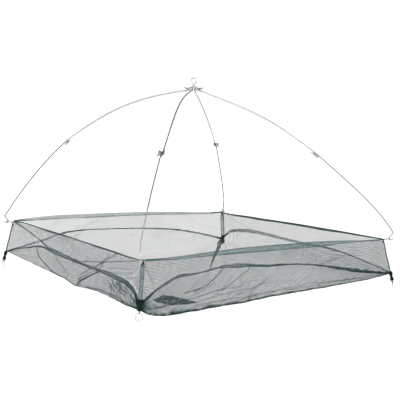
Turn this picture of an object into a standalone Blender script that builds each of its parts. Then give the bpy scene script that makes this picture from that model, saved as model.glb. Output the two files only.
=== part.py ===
"""A square folding lift net: four jointed wire arms hang from a hub ring and spread a shallow net bag.

Units are metres, +Z is up, and the origin is the point where a line carries the net, inside the top of
the lifting eye. The sides of the net run along X and Y, so the arms run along the diagonals.
"""
import math

import bmesh
import bpy
from mathutils import Matrix, Vector

# Wires and the gap that touching pieces keep
ARM_WIRE = 0.0040
HUB_WIRE = 0.0030
LINK_WIRE = 0.0020
RING_WIRE = 0.0020
GAP = 0.0004

# Hub: a ring that the arms turn on, and a lifting eye with crossed legs above it
EYE_RADIUS = 0.0110
EYE_JOIN_ANGLE = 28.0
EYE_TO_HUB = 0.0310
HUB_RING_RADIUS = 0.0240
HUB_HOOK_TURN = 270.0
HUB_LEG_ANGLE = 15.0
HUB_BEND_SHARE = 0.50

# Frame: heights are above the rim of the net, reaches are from the hub's centre line
HUB_HEIGHT = 0.5260
KNEE_REACH = 0.4720
KNEE_HEIGHT = 0.3090
FRAME_LEAN = 0.0170
ARM_EYE_CLEARANCE = 0.0005
ARM_EYE_TURN = 180.0
ARM_EYE_TAIL = 0.0100
ARM_EYE_TAIL_RISE = 32.0
ARM_EYE_TAIL_SHARE = 0.36
UPPER_END_FALL = 36.0
LOWER_START_FALL = 41.0
LOWER_END_FALL = 58.0
LOWER_BEND_SHARE = 0.30
LOWER_SLANT_SHARE = 0.12

# Knees: a bolt and a wing nut through the doubled-back ends of the two arms
BOLT_DIAMETER = 0.0050
BOLT_HEAD_DIAMETER = 0.0095
BOLT_HEAD_HEIGHT = 0.0032
BOLT_TAIL = 0.0035
UPPER_TAIL = 0.0190
LOWER_TAIL = 0.0130
TAIL_CLOSING = 11.0
WASHER_DIAMETER = 0.0120
WASHER_THICKNESS = 0.0010
NUT_DIAMETER = 0.0110
NUT_HEIGHT = 0.0060
NUT_SPAN = 0.0280
NUT_REST_TURN = 38.0
WING_HEIGHT = 0.0110
WING_THICKNESS = 0.0022

# Hooks at the arms' ends and the rings that link them to the net
CURL_RADIUS = 0.0060
CURL_ENTRY = 138.5
CURL_TURN = 176.0
HOOK_SHANK = 0.0160
HOOK_TIP = 0.0050
ELBOW_RADIUS = 0.0050
LINK_RADIUS = 0.0120
LINK_RISE = 13.0

# Net bag: a square rim, walls whose lower seam arches up, a skirt below the seam and a floor
NET_SIDE = 1.0000
CORNER_DROP = 0.1350
CORNER_SPLAY = 0.0340
WALL_BOW = 0.0120
SKIRT_DROP = 0.1500
SKIRT_CORNER_RISE = 0.0140
SKIRT_END = 0.95
SKIRT_END_DROP = 0.1330
SKIRT_SET_BACK = 0.0280
FLOOR_DROP = 0.1650
SEAM_POWER = 3.5
CORD = 0.0024
HEM_HEIGHT = 0.0150
HEM_END_HEIGHT = 0.0060
HEM_THICKNESS = 0.0016
HEM_RISE = 0.0065
HEM_TAPER_SHARE = 0.16
SEAM_DIAMETER = 0.0060
CORNER_WIDTH = 0.0120
CORNER_THICKNESS = 0.0040
CORNER_LOOP_CORD = 0.0022
CORNER_LOOP_CLEARANCE = 0.0004
TIE_TOP_RISE = 0.0180
TIE_RADIUS = 0.0110
TIE_NECK_RADIUS = 0.0048
TIE_LENGTH = 0.0330
TIE_LOOP_CORD = 0.0022
RING_RADIUS = 0.0125
TIE_INSET = 0.0080
MESH_ROWS = 6
WALL_ROWS = 2

# Where the parts of the frame stand, worked out from the sizes above
EYE_CENTRE_Z = -(EYE_RADIUS - HUB_WIRE / 2)
HUB_Z = EYE_CENTRE_Z - EYE_TO_HUB
RIM_Z = HUB_Z - HUB_HEIGHT
RIM_CORNER = NET_SIDE / math.sqrt(2)
ARM_EYE_RADIUS = HUB_WIRE / 2 + ARM_EYE_CLEARANCE + ARM_WIRE / 2
KNEE_EYE_RADIUS = BOLT_DIAMETER / 2 + GAP + ARM_WIRE / 2
KNEE_OFFSET = ARM_WIRE + GAP
CURL_TO_LINK = CURL_RADIUS - ARM_WIRE / 2 - GAP - LINK_WIRE / 2
LINK_REACH = CURL_TO_LINK + 2 * LINK_RADIUS
CORNER_LOOP_RADIUS = LINK_WIRE / 2 + CORNER_LOOP_CLEARANCE + CORNER_LOOP_CORD / 2
TIE_LOOP_RADIUS = RING_WIRE / 2 + GAP + TIE_LOOP_CORD / 2
SPLAY_PER_DROP = CORNER_SPLAY / CORNER_DROP
TIE_TOP_DROP = CORNER_DROP - TIE_TOP_RISE
WALL_END = NET_SIDE / 2 - (CORNER_THICKNESS + CORD) / math.sqrt(2) - 2 * GAP

# Corners: name, azimuth of the arm, the side of the arm that the wing nut is on, and its share of the lean
CORNERS = {
    "front_left": (-135.0, -1, 0.0),
    "front_right": (-45.0, 1, -1.0),
    "back_right": (45.0, -1, 0.0),
    "back_left": (135.0, -1, 1.0),
}
# How each upper arm is sprung: its fall at the hub in degrees, and how far its bend reaches
ARCHES = {
    "front_left": (8.0, 0.46),
    "front_right": (20.0, 0.46),
    "back_right": (20.0, 0.30),
    "back_left": (8.0, 0.40),
}
# Sides: azimuth of the outward face, how far the seam arches up, and how far its peak is moved along it
SIDES = {
    "front": (-90.0, 0.094, -0.25),
    "right": (0.0, 0.072, 0.15),
    "back": (90.0, 0.088, 0.25),
    "left": (180.0, 0.078, -0.25),
}

# Turns a flat outline upright: its X runs along Y and its Y runs along Z
STAND = Matrix(((0, 0, 1, 0), (1, 0, 0, 0), (0, 1, 0, 0), (0, 0, 0, 1)))
SMALL_RING_STEPS = 20
SMALL_RING_SIDES = 6


def clear_scene():
    for thing in list(bpy.data.objects):
        bpy.data.objects.remove(thing, do_unlink=True)


def collection(name):
    made = bpy.data.collections.new(name)
    bpy.context.scene.collection.children.link(made)
    return made


def material(name, colour, roughness, metallic):
    made = bpy.data.materials.new(name)
    made.use_nodes = True
    shader = made.node_tree.nodes["Principled BSDF"]
    shader.inputs["Base Color"].default_value = (*colour, 1.0)
    shader.inputs["Roughness"].default_value = roughness
    shader.inputs["Metallic"].default_value = metallic
    return made


clear_scene()
PARTS = collection("lift_net")
CUTTERS = collection("cutters")
GALVANISED = material("galvanised_wire", (0.62, 0.62, 0.60), 0.38, 1.0)
ZINC = material("zinc_plate", (0.42, 0.46, 0.50), 0.42, 1.0)
NETTING = material("green_netting", (0.060, 0.105, 0.095), 0.80, 0.0)
TAPE = material("green_hem_tape", (0.075, 0.150, 0.135), 0.85, 0.0)
TIE_CORD = material("black_green_tie", (0.012, 0.028, 0.024), 0.85, 0.0)


def direction(degrees):
    """Unit vector at an angle in the plane of an arm, from outward towards up."""
    angle = math.radians(degrees)
    return Vector((math.cos(angle), math.sin(angle)))


def arc(centre, radius, start, turn, steps):
    """Points round a centre from a start angle through a turn, both in degrees."""
    return [centre + radius * direction(start + turn * i / steps) for i in range(steps + 1)]


def bend(start, start_heading, end, end_heading, share, steps):
    """Points along a smooth cubic between two points that leaves and arrives at the headings given."""
    reach = (end - start).length * share
    first = start + reach * direction(start_heading)
    last = end - reach * direction(end_heading)
    points = []
    for i in range(steps + 1):
        t = i / steps
        points.append((1 - t) ** 3 * start + 3 * (1 - t) ** 2 * t * first
                      + 3 * (1 - t) * t * t * last + t ** 3 * end)
    return points


def smooth_step(t):
    t = min(max(t, 0.0), 1.0)
    return t * t * (3 - 2 * t)


def upright(azimuth, reach=0.0, height=0.0, across=0.0):
    """The frame of a thing that faces an azimuth, at a reach from the centre line."""
    turn = Matrix.Rotation(math.radians(azimuth), 4, "Z")
    return turn @ Matrix.Translation((reach, across, height))


def pivot(name, frame, parent=None):
    """An empty on a joint, which carries the pieces that turn there."""
    empty = bpy.data.objects.new(name, None)
    empty.empty_display_size = 0.01
    PARTS.objects.link(empty)
    empty.parent = parent
    bpy.context.view_layer.update()
    empty.matrix_world = frame
    bpy.context.view_layer.update()
    return empty


def place(made, carrier, frame=None):
    """Hang a piece on its pivot. Its own frame is the pivot's unless another is given."""
    made.parent = carrier
    bpy.context.view_layer.update()
    made.matrix_world = carrier.matrix_world if frame is None else frame
    return made


def add_piece(name, data, finish, where=None):
    made = bpy.data.objects.new(name, data)
    (where or PARTS).objects.link(made)
    if finish is not None:
        data.materials.append(finish)
    return made


def wire(name, points, diameter, finish, bevel=2, closed=False):
    """A round wire along points, with closed ends."""
    line = bpy.data.curves.new(name, "CURVE")
    line.dimensions = "3D"
    line.bevel_depth = diameter / 2
    line.bevel_resolution = bevel
    line.use_fill_caps = not closed
    spline = line.splines.new("POLY")
    spline.points.add(len(points) - 1)
    for point, target in zip(points, spline.points):
        target.co = (*point, 1.0)
    spline.use_cyclic_u = closed
    spline.use_smooth = True
    return add_piece(name, line, finish)


def solid_from(made, finish):
    """A curve or a piece with modifiers made a plain mesh, with its caps welded on."""
    bpy.context.view_layer.update()
    evaluated = made.evaluated_get(bpy.context.evaluated_depsgraph_get())
    mesh = bpy.data.meshes.new_from_object(evaluated)
    shape = bmesh.new()
    shape.from_mesh(mesh)
    bmesh.ops.remove_doubles(shape, verts=shape.verts, dist=0.00001)
    bmesh.ops.recalc_face_normals(shape, faces=shape.faces)
    shape.to_mesh(mesh)
    shape.free()
    name = made.name
    frame = made.matrix_world.copy()
    bpy.data.objects.remove(made, do_unlink=True)
    mesh.name = name
    mesh.materials.clear()
    solid = add_piece(name, mesh, finish)
    solid.matrix_world = frame
    return solid


def join(main, others, operation="UNION"):
    """Join meshes into the main one, or cut them out of it, and keep one clean mesh."""
    finish = main.data.materials[0]
    for other in others:
        boolean = main.modifiers.new("join", "BOOLEAN")
        boolean.operation = operation
        boolean.solver = "EXACT"
        boolean.object = other
    joined = solid_from(main, finish)
    for other in others:
        bpy.data.objects.remove(other, do_unlink=True)
    return joined


def shade_round(made, angle=40.0):
    made.data.shade_smooth()
    made.data.set_sharp_from_angle(angle=math.radians(angle))
    return made


def torus(name, radius, wire_diameter, finish, steps=SMALL_RING_STEPS, sides=SMALL_RING_SIDES):
    """A closed ring of round wire that lies flat in its own XY plane."""
    bpy.ops.mesh.primitive_torus_add(major_radius=radius, minor_radius=wire_diameter / 2,
                                     major_segments=steps, minor_segments=sides)
    made = bpy.context.object
    made.name = name
    made.data.name = name
    for holder in list(made.users_collection):
        holder.objects.unlink(made)
    PARTS.objects.link(made)
    made.data.materials.append(finish)
    made.data.shade_smooth()
    return made


def turned(name, profile, finish, steps=16):
    """A shape turned round its own Z axis. The profile runs down its outer side, top to bottom."""
    mesh = bpy.data.meshes.new(name)
    shape = bmesh.new()
    corners = [shape.verts.new((radius, 0, height)) for radius, height in profile]
    for first, second in zip(corners, corners[1:]):
        shape.edges.new((first, second))
    shape.to_mesh(mesh)
    shape.free()
    made = add_piece(name, mesh, finish)
    screw = made.modifiers.new("turn", "SCREW")
    screw.axis = "Z"
    screw.steps = steps
    screw.render_steps = steps
    screw.use_merge_vertices = True
    screw.merge_threshold = 0.00001
    return made


# Hub


def leg_height_at_crossing():
    """Height where the two legs of the lifting eye cross over the hub's centre."""
    points = eye_leg()
    for first, second in zip(points, points[1:]):
        if first.x <= 0.0 < second.x:
            return first.y + (second.y - first.y) * (-first.x) / (second.x - first.x)
    return points[-1].y


def eye_leg():
    """One leg of the lifting eye in its own plane, from the hub ring to where it joins the eye."""
    hook = Vector((-HUB_RING_RADIUS, HUB_Z))
    start = hook + ARM_EYE_RADIUS * direction(90.0 + HUB_LEG_ANGLE)
    join_point = Vector((0, EYE_CENTRE_Z)) + EYE_RADIUS * direction(-EYE_JOIN_ANGLE)
    return bend(start, HUB_LEG_ANGLE, join_point, 90.0 - EYE_JOIN_ANGLE, HUB_BEND_SHARE, 8)


def hub_hook():
    """The open loop that holds a leg on the hub ring, from its tip to where the leg starts."""
    centre = Vector((-HUB_RING_RADIUS, HUB_Z))
    start = 90.0 + HUB_LEG_ANGLE + HUB_HOOK_TURN
    return arc(centre, ARM_EYE_RADIUS, start, -HUB_HOOK_TURN, 9)


def lifting_eye():
    """One wire: a hook on the ring, a leg, the eye, the other leg and the other hook."""
    offset = (HUB_WIRE + GAP) / 2
    leg = eye_leg()
    half = [(point.x, 0.0, point.y) for point in hub_hook()]
    for i, point in enumerate(leg[1:], start=1):
        half.append((point.x, offset * smooth_step(2 * i / (len(leg) - 1)), point.y))
    centre = Vector((0, EYE_CENTRE_Z))
    loop = arc(centre, EYE_RADIUS, -EYE_JOIN_ANGLE, 180.0 + 2 * EYE_JOIN_ANGLE, 16)
    eye = [(point.x, offset * (1 - 2 * i / (len(loop) - 1)), point.y) for i, point in enumerate(loop)]
    other = [(-x, -y, z) for x, y, z in reversed(half)]
    return wire("lifting_eye", half + eye[1:-1] + other, HUB_WIRE, GALVANISED)


def hub_cross():
    """The second wire, square to the eye, which ties the other two sides of the ring under the legs."""
    leg = eye_leg()
    slope = math.atan2(leg[6].y - leg[4].y, leg[6].x - leg[4].x)
    top = leg_height_at_crossing() - (HUB_WIRE + GAP) / math.cos(slope)
    hook = hub_hook()
    half = bend(hook[-1], HUB_LEG_ANGLE, Vector((0, top)), 0.0, HUB_BEND_SHARE, 6)
    side = [(0.0, point.x, point.y) for point in hook + half[1:]]
    other = [(x, -y, z) for x, y, z in reversed(side[:-1])]
    return wire("hub_cross", side + other, HUB_WIRE, GALVANISED)


def make_hub():
    carrier = pivot("hub", Matrix.Identity(4))
    ring = torus("hub_ring", HUB_RING_RADIUS, HUB_WIRE, GALVANISED, steps=28)
    place(ring, carrier, Matrix.Translation((0, 0, HUB_Z)))
    place(lifting_eye(), carrier)
    place(hub_cross(), carrier)
    return carrier


# Arms. Every point is (reach, height above the rim) in the upright plane of its arm.


def hub_point():
    return Vector((HUB_RING_RADIUS, HUB_HEIGHT))


def knee_point(corner):
    """The knee of an arm. The whole frame leans a little towards one corner, as the sprung wires settle."""
    lean = CORNERS[corner][2] * FRAME_LEAN
    return Vector((KNEE_REACH + lean, KNEE_HEIGHT + lean * KNEE_HEIGHT / KNEE_REACH))


def corner_point():
    return Vector((RIM_CORNER, 0.0))


def curl_point():
    return corner_point() + LINK_REACH * direction(LINK_RISE)


def upper_path(corner):
    """Upper arm: the tail over the hub eye, the eye, the arch and the doubled-back knee eye."""
    hub = hub_point()
    knee = knee_point(corner)
    start_fall, bend_share = ARCHES[corner]
    eye = arc(hub, ARM_EYE_RADIUS, 270.0 - start_fall - ARM_EYE_TURN, ARM_EYE_TURN, 8)
    tip = eye[0] + ARM_EYE_TAIL * direction(ARM_EYE_TAIL_RISE / 2)
    over = bend(tip, 180.0 + ARM_EYE_TAIL_RISE, eye[0], 360.0 - start_fall - ARM_EYE_TURN, ARM_EYE_TAIL_SHARE, 4)
    arrive = knee + KNEE_EYE_RADIUS * direction(90.0 - UPPER_END_FALL)
    arch = bend(eye[-1], -start_fall, arrive, -UPPER_END_FALL, bend_share, 12)
    turn = 180.0 + TAIL_CLOSING
    loop = arc(knee, KNEE_EYE_RADIUS, 90.0 - UPPER_END_FALL, -turn, 8)
    tail = loop[-1] + UPPER_TAIL * direction(180.0 - UPPER_END_FALL - TAIL_CLOSING)
    return over + eye[1:] + arch[1:] + loop[1:] + [tail]


def lower_path(corner):
    """Knee eye, straight run, elbow and open curl of a lower arm, and how many points come before the elbow."""
    knee = knee_point(corner)
    curl = curl_point()
    turn = 180.0 + TAIL_CLOSING
    eye = arc(knee, KNEE_EYE_RADIUS, 90.0 - LOWER_START_FALL + turn, -turn, 8)
    tail = eye[0] + LOWER_TAIL * direction(-LOWER_START_FALL + TAIL_CLOSING)
    heading = CURL_ENTRY + 90.0
    hook = arc(curl, CURL_RADIUS, CURL_ENTRY, CURL_TURN, 9)
    tip = hook[-1] + HOOK_TIP * direction(heading + CURL_TURN)
    shank = hook[0] - HOOK_SHANK * direction(heading)
    centre = shank + ELBOW_RADIUS * direction(CURL_ENTRY)
    fall = 90.0 - LOWER_END_FALL
    elbow = arc(centre, ELBOW_RADIUS, fall, CURL_ENTRY - 180.0 - fall, 5)
    run = bend(eye[-1], -LOWER_START_FALL, elbow[0], -LOWER_END_FALL, LOWER_BEND_SHARE, 12)
    start = [tail] + eye
    return start + run[1:] + elbow[1:] + hook + [tip], len(start), len(start) + len(run) - 1


def in_frame(points, origin, across):
    """Points of an arm's plane in the frame of a pivot, with the distance that each lies across the plane."""
    return [(p.x - origin.x, a, p.y - origin.y) for p, a in zip(points, across)]


def upper_arm(corner, carrier):
    points = upper_path(corner)
    made = wire(f"upper_arm_{corner}", in_frame(points, hub_point(), [0.0] * len(points)),
                ARM_WIRE, GALVANISED)
    return place(made, carrier)


def lower_arm(corner, carrier):
    """The lower arm lies beside the upper one at the knee and comes back into its plane before the elbow."""
    points, first, last = lower_path(corner)
    offset = KNEE_OFFSET * CORNERS[corner][1]
    across = []
    for i in range(len(points)):
        along = (i - first) / (last - first)
        across.append(offset * (1 - smooth_step((along - 1 + LOWER_SLANT_SHARE) / LOWER_SLANT_SHARE)))
    made = wire(f"lower_arm_{corner}", in_frame(points, knee_point(corner), across), ARM_WIRE, GALVANISED)
    return place(made, carrier)


def knee_frame(corner, across=0.0):
    """A frame at the knee whose Z axis runs along the bolt, from the head towards the wing nut."""
    azimuth, side, _ = CORNERS[corner]
    knee = knee_point(corner)
    turn = Matrix.Rotation(math.radians(-90.0 * side), 4, "X")
    return upright(azimuth, knee.x, RIM_Z + knee.y, across * side) @ turn


def stack_heights():
    """Where the head, washer and nut stand along the bolt, from the middle of the upper arm's wire."""
    head = -(ARM_WIRE / 2 + GAP)
    washer = KNEE_OFFSET + ARM_WIRE / 2 + GAP
    nut = washer + WASHER_THICKNESS + GAP
    return head, washer, nut


def knee_bolt(corner, carrier):
    head, _, nut = stack_heights()
    shank = BOLT_DIAMETER / 2
    cap = BOLT_HEAD_DIAMETER / 2
    end = nut + NUT_HEIGHT + BOLT_TAIL
    profile = [(0, end), (shank * 0.8, end), (shank, end - shank * 0.2), (shank, head), (cap, head),
               (cap, head - BOLT_HEAD_HEIGHT * 0.6), (cap * 0.6, head - BOLT_HEAD_HEIGHT),
               (0, head - BOLT_HEAD_HEIGHT)]
    made = turned(f"knee_bolt_{corner}", profile, ZINC)
    return place(made, carrier, knee_frame(corner))


def washer(corner, carrier):
    _, low, _ = stack_heights()
    inner = BOLT_DIAMETER / 2 + GAP
    outer = WASHER_DIAMETER / 2
    high = low + WASHER_THICKNESS
    profile = [(inner, high), (outer, high), (outer, low), (inner, low), (inner, high)]
    made = turned(f"knee_washer_{corner}", profile, ZINC)
    return place(made, carrier, knee_frame(corner))


def wing_outline():
    """Half of a wing nut's wing, from the middle outwards and up to its round tip."""
    root = NUT_DIAMETER / 2 * 0.7
    tip_radius = NUT_SPAN / 2 - root
    points = [Vector((0.0, NUT_HEIGHT * 0.12)), Vector((root, NUT_HEIGHT * 0.12))]
    centre = Vector((NUT_SPAN / 2 - tip_radius * 0.42, WING_HEIGHT - tip_radius * 0.42))
    points += arc(centre, tip_radius * 0.42, -60.0, 210.0, 7)
    points += [Vector((root * 0.9, NUT_HEIGHT * 0.9)), Vector((0.0, NUT_HEIGHT * 0.9))]
    return points


def wing_nut(corner, carrier):
    """A turned body with two flat wings, bored for the bolt."""
    _, _, low = stack_heights()
    inner = BOLT_DIAMETER / 2 + GAP
    body_profile = [(0, NUT_HEIGHT), (NUT_DIAMETER / 2 * 0.82, NUT_HEIGHT), (NUT_DIAMETER / 2, 0), (0, 0)]
    body = solid_from(turned(f"wing_nut_{corner}", body_profile, ZINC), ZINC)
    wings = []
    for sign in (1, -1):
        points = [(point.x * sign, point.y) for point in wing_outline()]
        flat = outline_plate("wing", points, WING_THICKNESS, ZINC)
        flat.matrix_world = Matrix.Rotation(math.radians(90.0), 4, "X")
        wings.append(solid_from(flat, ZINC))
    body = join(body, wings)
    bore_profile = [(0, NUT_HEIGHT * 2), (inner, NUT_HEIGHT * 2), (inner, -NUT_HEIGHT), (0, -NUT_HEIGHT)]
    bore = solid_from(turned("bore", bore_profile, ZINC), ZINC)
    body = join(body, [bore], "DIFFERENCE")
    turn = Matrix.Rotation(math.radians(NUT_REST_TURN * CORNERS[corner][1]), 4, "Z")
    frame = knee_frame(corner) @ Matrix.Translation((0, 0, low)) @ turn
    return shade_round(place(body, carrier, frame))


def link_ring(corner, carrier):
    """The ring that holds a corner of the net on the hook. It lies along the pull, square to the arm's plane."""
    azimuth = CORNERS[corner][0]
    curl = curl_point()
    middle = curl - (CURL_TO_LINK + LINK_RADIUS) * direction(LINK_RISE)
    made = torus(f"link_ring_{corner}", LINK_RADIUS, LINK_WIRE, GALVANISED)
    tilt = Matrix.Rotation(math.radians(-LINK_RISE), 4, "Y")
    return place(made, carrier, upright(azimuth, middle.x, RIM_Z + middle.y) @ tilt)


def outline_plate(name, points, thickness, finish):
    """A flat plate cut to an outline in its own XY plane."""
    outline = bpy.data.curves.new(name, "CURVE")
    outline.dimensions = "2D"
    outline.fill_mode = "BOTH"
    outline.extrude = thickness / 2
    spline = outline.splines.new("POLY")
    spline.points.add(len(points) - 1)
    for (x, y), target in zip(points, spline.points):
        target.co = (x, y, 0.0, 1.0)
    spline.use_cyclic_u = True
    return add_piece(name, outline, finish)


def corner_seam(corner, carrier):
    """The bound corner of the net: a tape down the corner, with a cord loop at its top for the link ring."""
    azimuth = CORNERS[corner][0]
    top = -CORNER_LOOP_RADIUS
    low = -(TIE_TOP_DROP - GAP) * math.sqrt(1 + SPLAY_PER_DROP ** 2)
    neck = CORNER_LOOP_CORD * 0.75
    half = CORNER_WIDTH / 2
    points = [(neck, top), (half, top - CORNER_WIDTH), (half, low), (-half, low),
              (-half, top - CORNER_WIDTH), (-neck, top)]
    tape = solid_from(outline_plate(f"corner_seam_{corner}", points, CORNER_THICKNESS, TAPE), TAPE)
    lean = Matrix.Rotation(-math.atan(SPLAY_PER_DROP), 4, "Y")
    tape.data.transform(lean @ STAND)
    loop = torus("loop", CORNER_LOOP_RADIUS, CORNER_LOOP_CORD, TAPE, steps=12)
    loop.matrix_world = Matrix.Rotation(math.radians(90.0), 4, "X")
    made = join(tape, [solid_from(loop, TAPE)])
    corner_at = corner_point()
    return place(made, carrier, upright(azimuth, corner_at.x, RIM_Z + corner_at.y))


def down_the_corner(azimuth, drop):
    """The frame at a drop below the rim on the splayed corner, with Z along it."""
    lean = Matrix.Rotation(-math.atan(SPLAY_PER_DROP), 4, "Y")
    return upright(azimuth, RIM_CORNER + drop * SPLAY_PER_DROP, RIM_Z - drop) @ lean


def corner_tie(corner, carrier):
    """The lower corner, gathered and bound into a knot, with a loop under it for the ring."""
    azimuth = CORNERS[corner][0]
    profile = [(0, 0), (TIE_RADIUS * 0.62, 0), (TIE_RADIUS, -TIE_LENGTH * 0.22),
               (TIE_RADIUS * 0.86, -TIE_LENGTH * 0.45), (TIE_NECK_RADIUS, -TIE_LENGTH * 0.66),
               (TIE_NECK_RADIUS * 1.25, -TIE_LENGTH * 0.80), (TIE_NECK_RADIUS, -TIE_LENGTH * 0.97),
               (0, -TIE_LENGTH)]
    knot = solid_from(turned(f"corner_tie_{corner}", profile, TIE_CORD, steps=12), TIE_CORD)
    loop = torus("loop", TIE_LOOP_RADIUS, TIE_LOOP_CORD, TIE_CORD, steps=12)
    loop.matrix_world = Matrix.Translation((0, 0, -TIE_LENGTH - TIE_LOOP_RADIUS)) @ Matrix.Rotation(
        math.radians(90.0), 4, "X")
    made = join(knot, [solid_from(loop, TIE_CORD)])
    return place(made, carrier, down_the_corner(azimuth, TIE_TOP_DROP))


def ring_pivot():
    """Where a corner ring hangs in the loop of its tie, as (reach, height above the rim)."""
    along = TIE_LENGTH + TIE_LOOP_RADIUS
    slope = math.atan(SPLAY_PER_DROP)
    reach = RIM_CORNER + TIE_TOP_DROP * SPLAY_PER_DROP + along * math.sin(slope)
    return Vector((reach, -TIE_TOP_DROP - along * math.cos(slope)))


def corner_ring(corner, carrier):
    """The loose ring under each lower corner. It hangs in the tie's loop, square to the arm."""
    azimuth = CORNERS[corner][0]
    hung = ring_pivot()
    made = torus(f"corner_ring_{corner}", RING_RADIUS, RING_WIRE, GALVANISED)
    turn = Matrix.Rotation(math.radians(90.0), 4, "Y")
    return place(made, carrier, upright(azimuth, hung.x, RIM_Z + hung.y - RING_RADIUS) @ turn)


def make_arm(corner, hub):
    """One arm from the hub to the ring under its corner, with an empty on each joint."""
    azimuth, side, _ = CORNERS[corner]
    start = hub_point()
    knee = knee_point(corner)
    curl = curl_point()
    net = corner_point()
    hung = ring_pivot()
    hub_joint = pivot(f"hub_joint_{corner}", upright(azimuth, start.x, RIM_Z + start.y), hub)
    knee_joint = pivot(f"knee_joint_{corner}", upright(azimuth, knee.x, RIM_Z + knee.y), hub_joint)
    nut_joint = pivot(f"nut_joint_{corner}", knee_frame(corner), hub_joint)
    curl_joint = pivot(f"curl_joint_{corner}", upright(azimuth, curl.x, RIM_Z + curl.y), knee_joint)
    corner_joint = pivot(f"corner_joint_{corner}", upright(azimuth, net.x, RIM_Z + net.y), curl_joint)
    ring_joint = pivot(f"ring_joint_{corner}", upright(azimuth, hung.x, RIM_Z + hung.y), corner_joint)
    upper_arm(corner, hub_joint)
    knee_bolt(corner, hub_joint)
    washer(corner, hub_joint)
    wing_nut(corner, nut_joint)
    lower_arm(corner, knee_joint)
    link_ring(corner, curl_joint)
    corner_seam(corner, corner_joint)
    corner_tie(corner, corner_joint)
    corner_ring(corner, ring_joint)


# Net. On each side, u runs from -1 to 1 along the side, and a point is (out from the centre, along, height).


def seam_drop(side, u):
    """How far the arched lower seam is below the rim."""
    _, rise, skew = SIDES[side]
    warped = abs(u - skew * (1 - u * u))
    return CORNER_DROP - rise * (1 - warped ** SEAM_POWER)


def steepness(side, u):
    """How much more height a piece takes beside the seam where the seam slopes."""
    step = 1 / MESH_ROWS
    here = seam_drop(side, u)
    rise = max(abs(seam_drop(side, max(-1, u - step)) - here), abs(seam_drop(side, min(1, u + step)) - here))
    return math.sqrt(1 + (rise / (step * NET_SIDE / 2)) ** 2)


def wall_point(u, drop):
    """A point of a wall at a drop below the rim: splayed at the corners and drawn in at the middle."""
    share = drop / CORNER_DROP
    splay = CORNER_SPLAY / math.sqrt(2) * share
    out = NET_SIDE / 2 + splay * u * u - WALL_BOW * share * (1 - u * u)
    inset = TIE_INSET * smooth_step((share - 0.75) * 5)
    return Vector((out, u * (WALL_END + splay - inset), -drop))


def skirt_edge_drop(u):
    """How far the bottom fold of the net is below the rim."""
    return SKIRT_DROP - SKIRT_CORNER_RISE * u ** 4


def lattice(name, shape, finish, carrier):
    """A grid of cords: every edge of the shape becomes a cord."""
    mesh = bpy.data.meshes.new(name)
    bmesh.ops.recalc_face_normals(shape, faces=shape.faces)
    shape.to_mesh(mesh)
    shape.free()
    made = add_piece(name, mesh, finish)
    cords = made.modifiers.new("cords", "WIREFRAME")
    cords.thickness = CORD
    cords.use_boundary = True
    cords.use_replace = True
    cords.use_even_offset = True
    return place(made, carrier)


def panel(name, rows, reach, top, bottom, carrier):
    """A panel of netting on a wall, between two drops that are functions of u. It ends at the reach given."""
    shape = bmesh.new()
    bmesh.ops.create_grid(shape, x_segments=2 * MESH_ROWS, y_segments=rows, size=1.0)
    for vert in shape.verts:
        u = max(-reach, min(reach, vert.co.x))
        v = (1 - vert.co.y) / 2
        drop = top(u) + (bottom(u) - top(u)) * v
        vert.co = wall_point(u, drop)
    bmesh.ops.remove_doubles(shape, verts=shape.verts, dist=0.0005)
    return lattice(name, shape, NETTING, carrier)


def top_hem(side, carrier):
    """The folded tape round the rim, which narrows where it is tied at the corners."""
    steps = 2 * MESH_ROWS
    low = HEM_RISE - HEM_HEIGHT
    upper = []
    lower = []
    for i in range(steps + 1):
        u = -1 + 2 * i / steps
        share = smooth_step((1 - abs(u)) / HEM_TAPER_SHARE)
        height = HEM_END_HEIGHT + (HEM_HEIGHT - HEM_END_HEIGHT) * share
        middle = (HEM_RISE + low) / 2 * share
        upper.append((u * WALL_END, middle + height / 2))
        lower.append((u * WALL_END, middle - height / 2))
    made = outline_plate(f"top_hem_{side}", upper + lower[::-1], HEM_THICKNESS, TAPE)
    stand = Matrix.Translation((NET_SIDE / 2, 0, 0)) @ STAND
    return place(made, carrier, carrier.matrix_world @ stand)


def hem_bottom(u):
    """Drop of the hem's lower edge, with room for a cord under it."""
    share = smooth_step((1 - abs(u)) / HEM_TAPER_SHARE)
    height = HEM_END_HEIGHT + (HEM_HEIGHT - HEM_END_HEIGHT) * share
    middle = (2 * HEM_RISE - HEM_HEIGHT) / 2 * share
    return height / 2 - middle


def lower_seam(side, carrier):
    """The rolled seam that joins the wall to the bottom of the bag, arched up along each side."""
    columns = 2 * MESH_ROWS
    points = []
    for i in range(columns + 1):
        u = -1 + 2 * i / columns
        points.append(wall_point(u, seam_drop(side, u)))
    made = wire(f"lower_seam_{side}", points, SEAM_DIAMETER, TAPE, bevel=1)
    return place(made, carrier)


def make_wall(side):
    """One side of the bag: hem, netting, arched seam and the skirt below it."""
    azimuth = SIDES[side][0]
    carrier = pivot(f"wall_joint_{side}", upright(azimuth, 0.0, RIM_Z))
    room = CORD / 2 + GAP
    seam_room = SEAM_DIAMETER / 2 + room
    def skirt_top(u):
        return SKIRT_END_DROP if abs(u) >= SKIRT_END else seam_drop(side, u) + seam_room * steepness(side, u)

    def skirt_bottom(u):
        return SKIRT_END_DROP if abs(u) >= SKIRT_END else skirt_edge_drop(u) - room

    top_hem(side, carrier)
    panel(f"wall_net_{side}", WALL_ROWS, 1.0, lambda u: hem_bottom(u) + room,
          lambda u: seam_drop(side, u) - seam_room * steepness(side, u), carrier)
    lower_seam(side, carrier)
    panel(f"skirt_net_{side}", 1, SKIRT_END, skirt_top, skirt_bottom, carrier)
    return carrier


def floor_half():
    """Half of the floor's side, which ends short of the ties."""
    lower_corner = RIM_CORNER + CORNER_SPLAY
    return (lower_corner - TIE_RADIUS - CORD) / math.sqrt(2)


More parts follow.
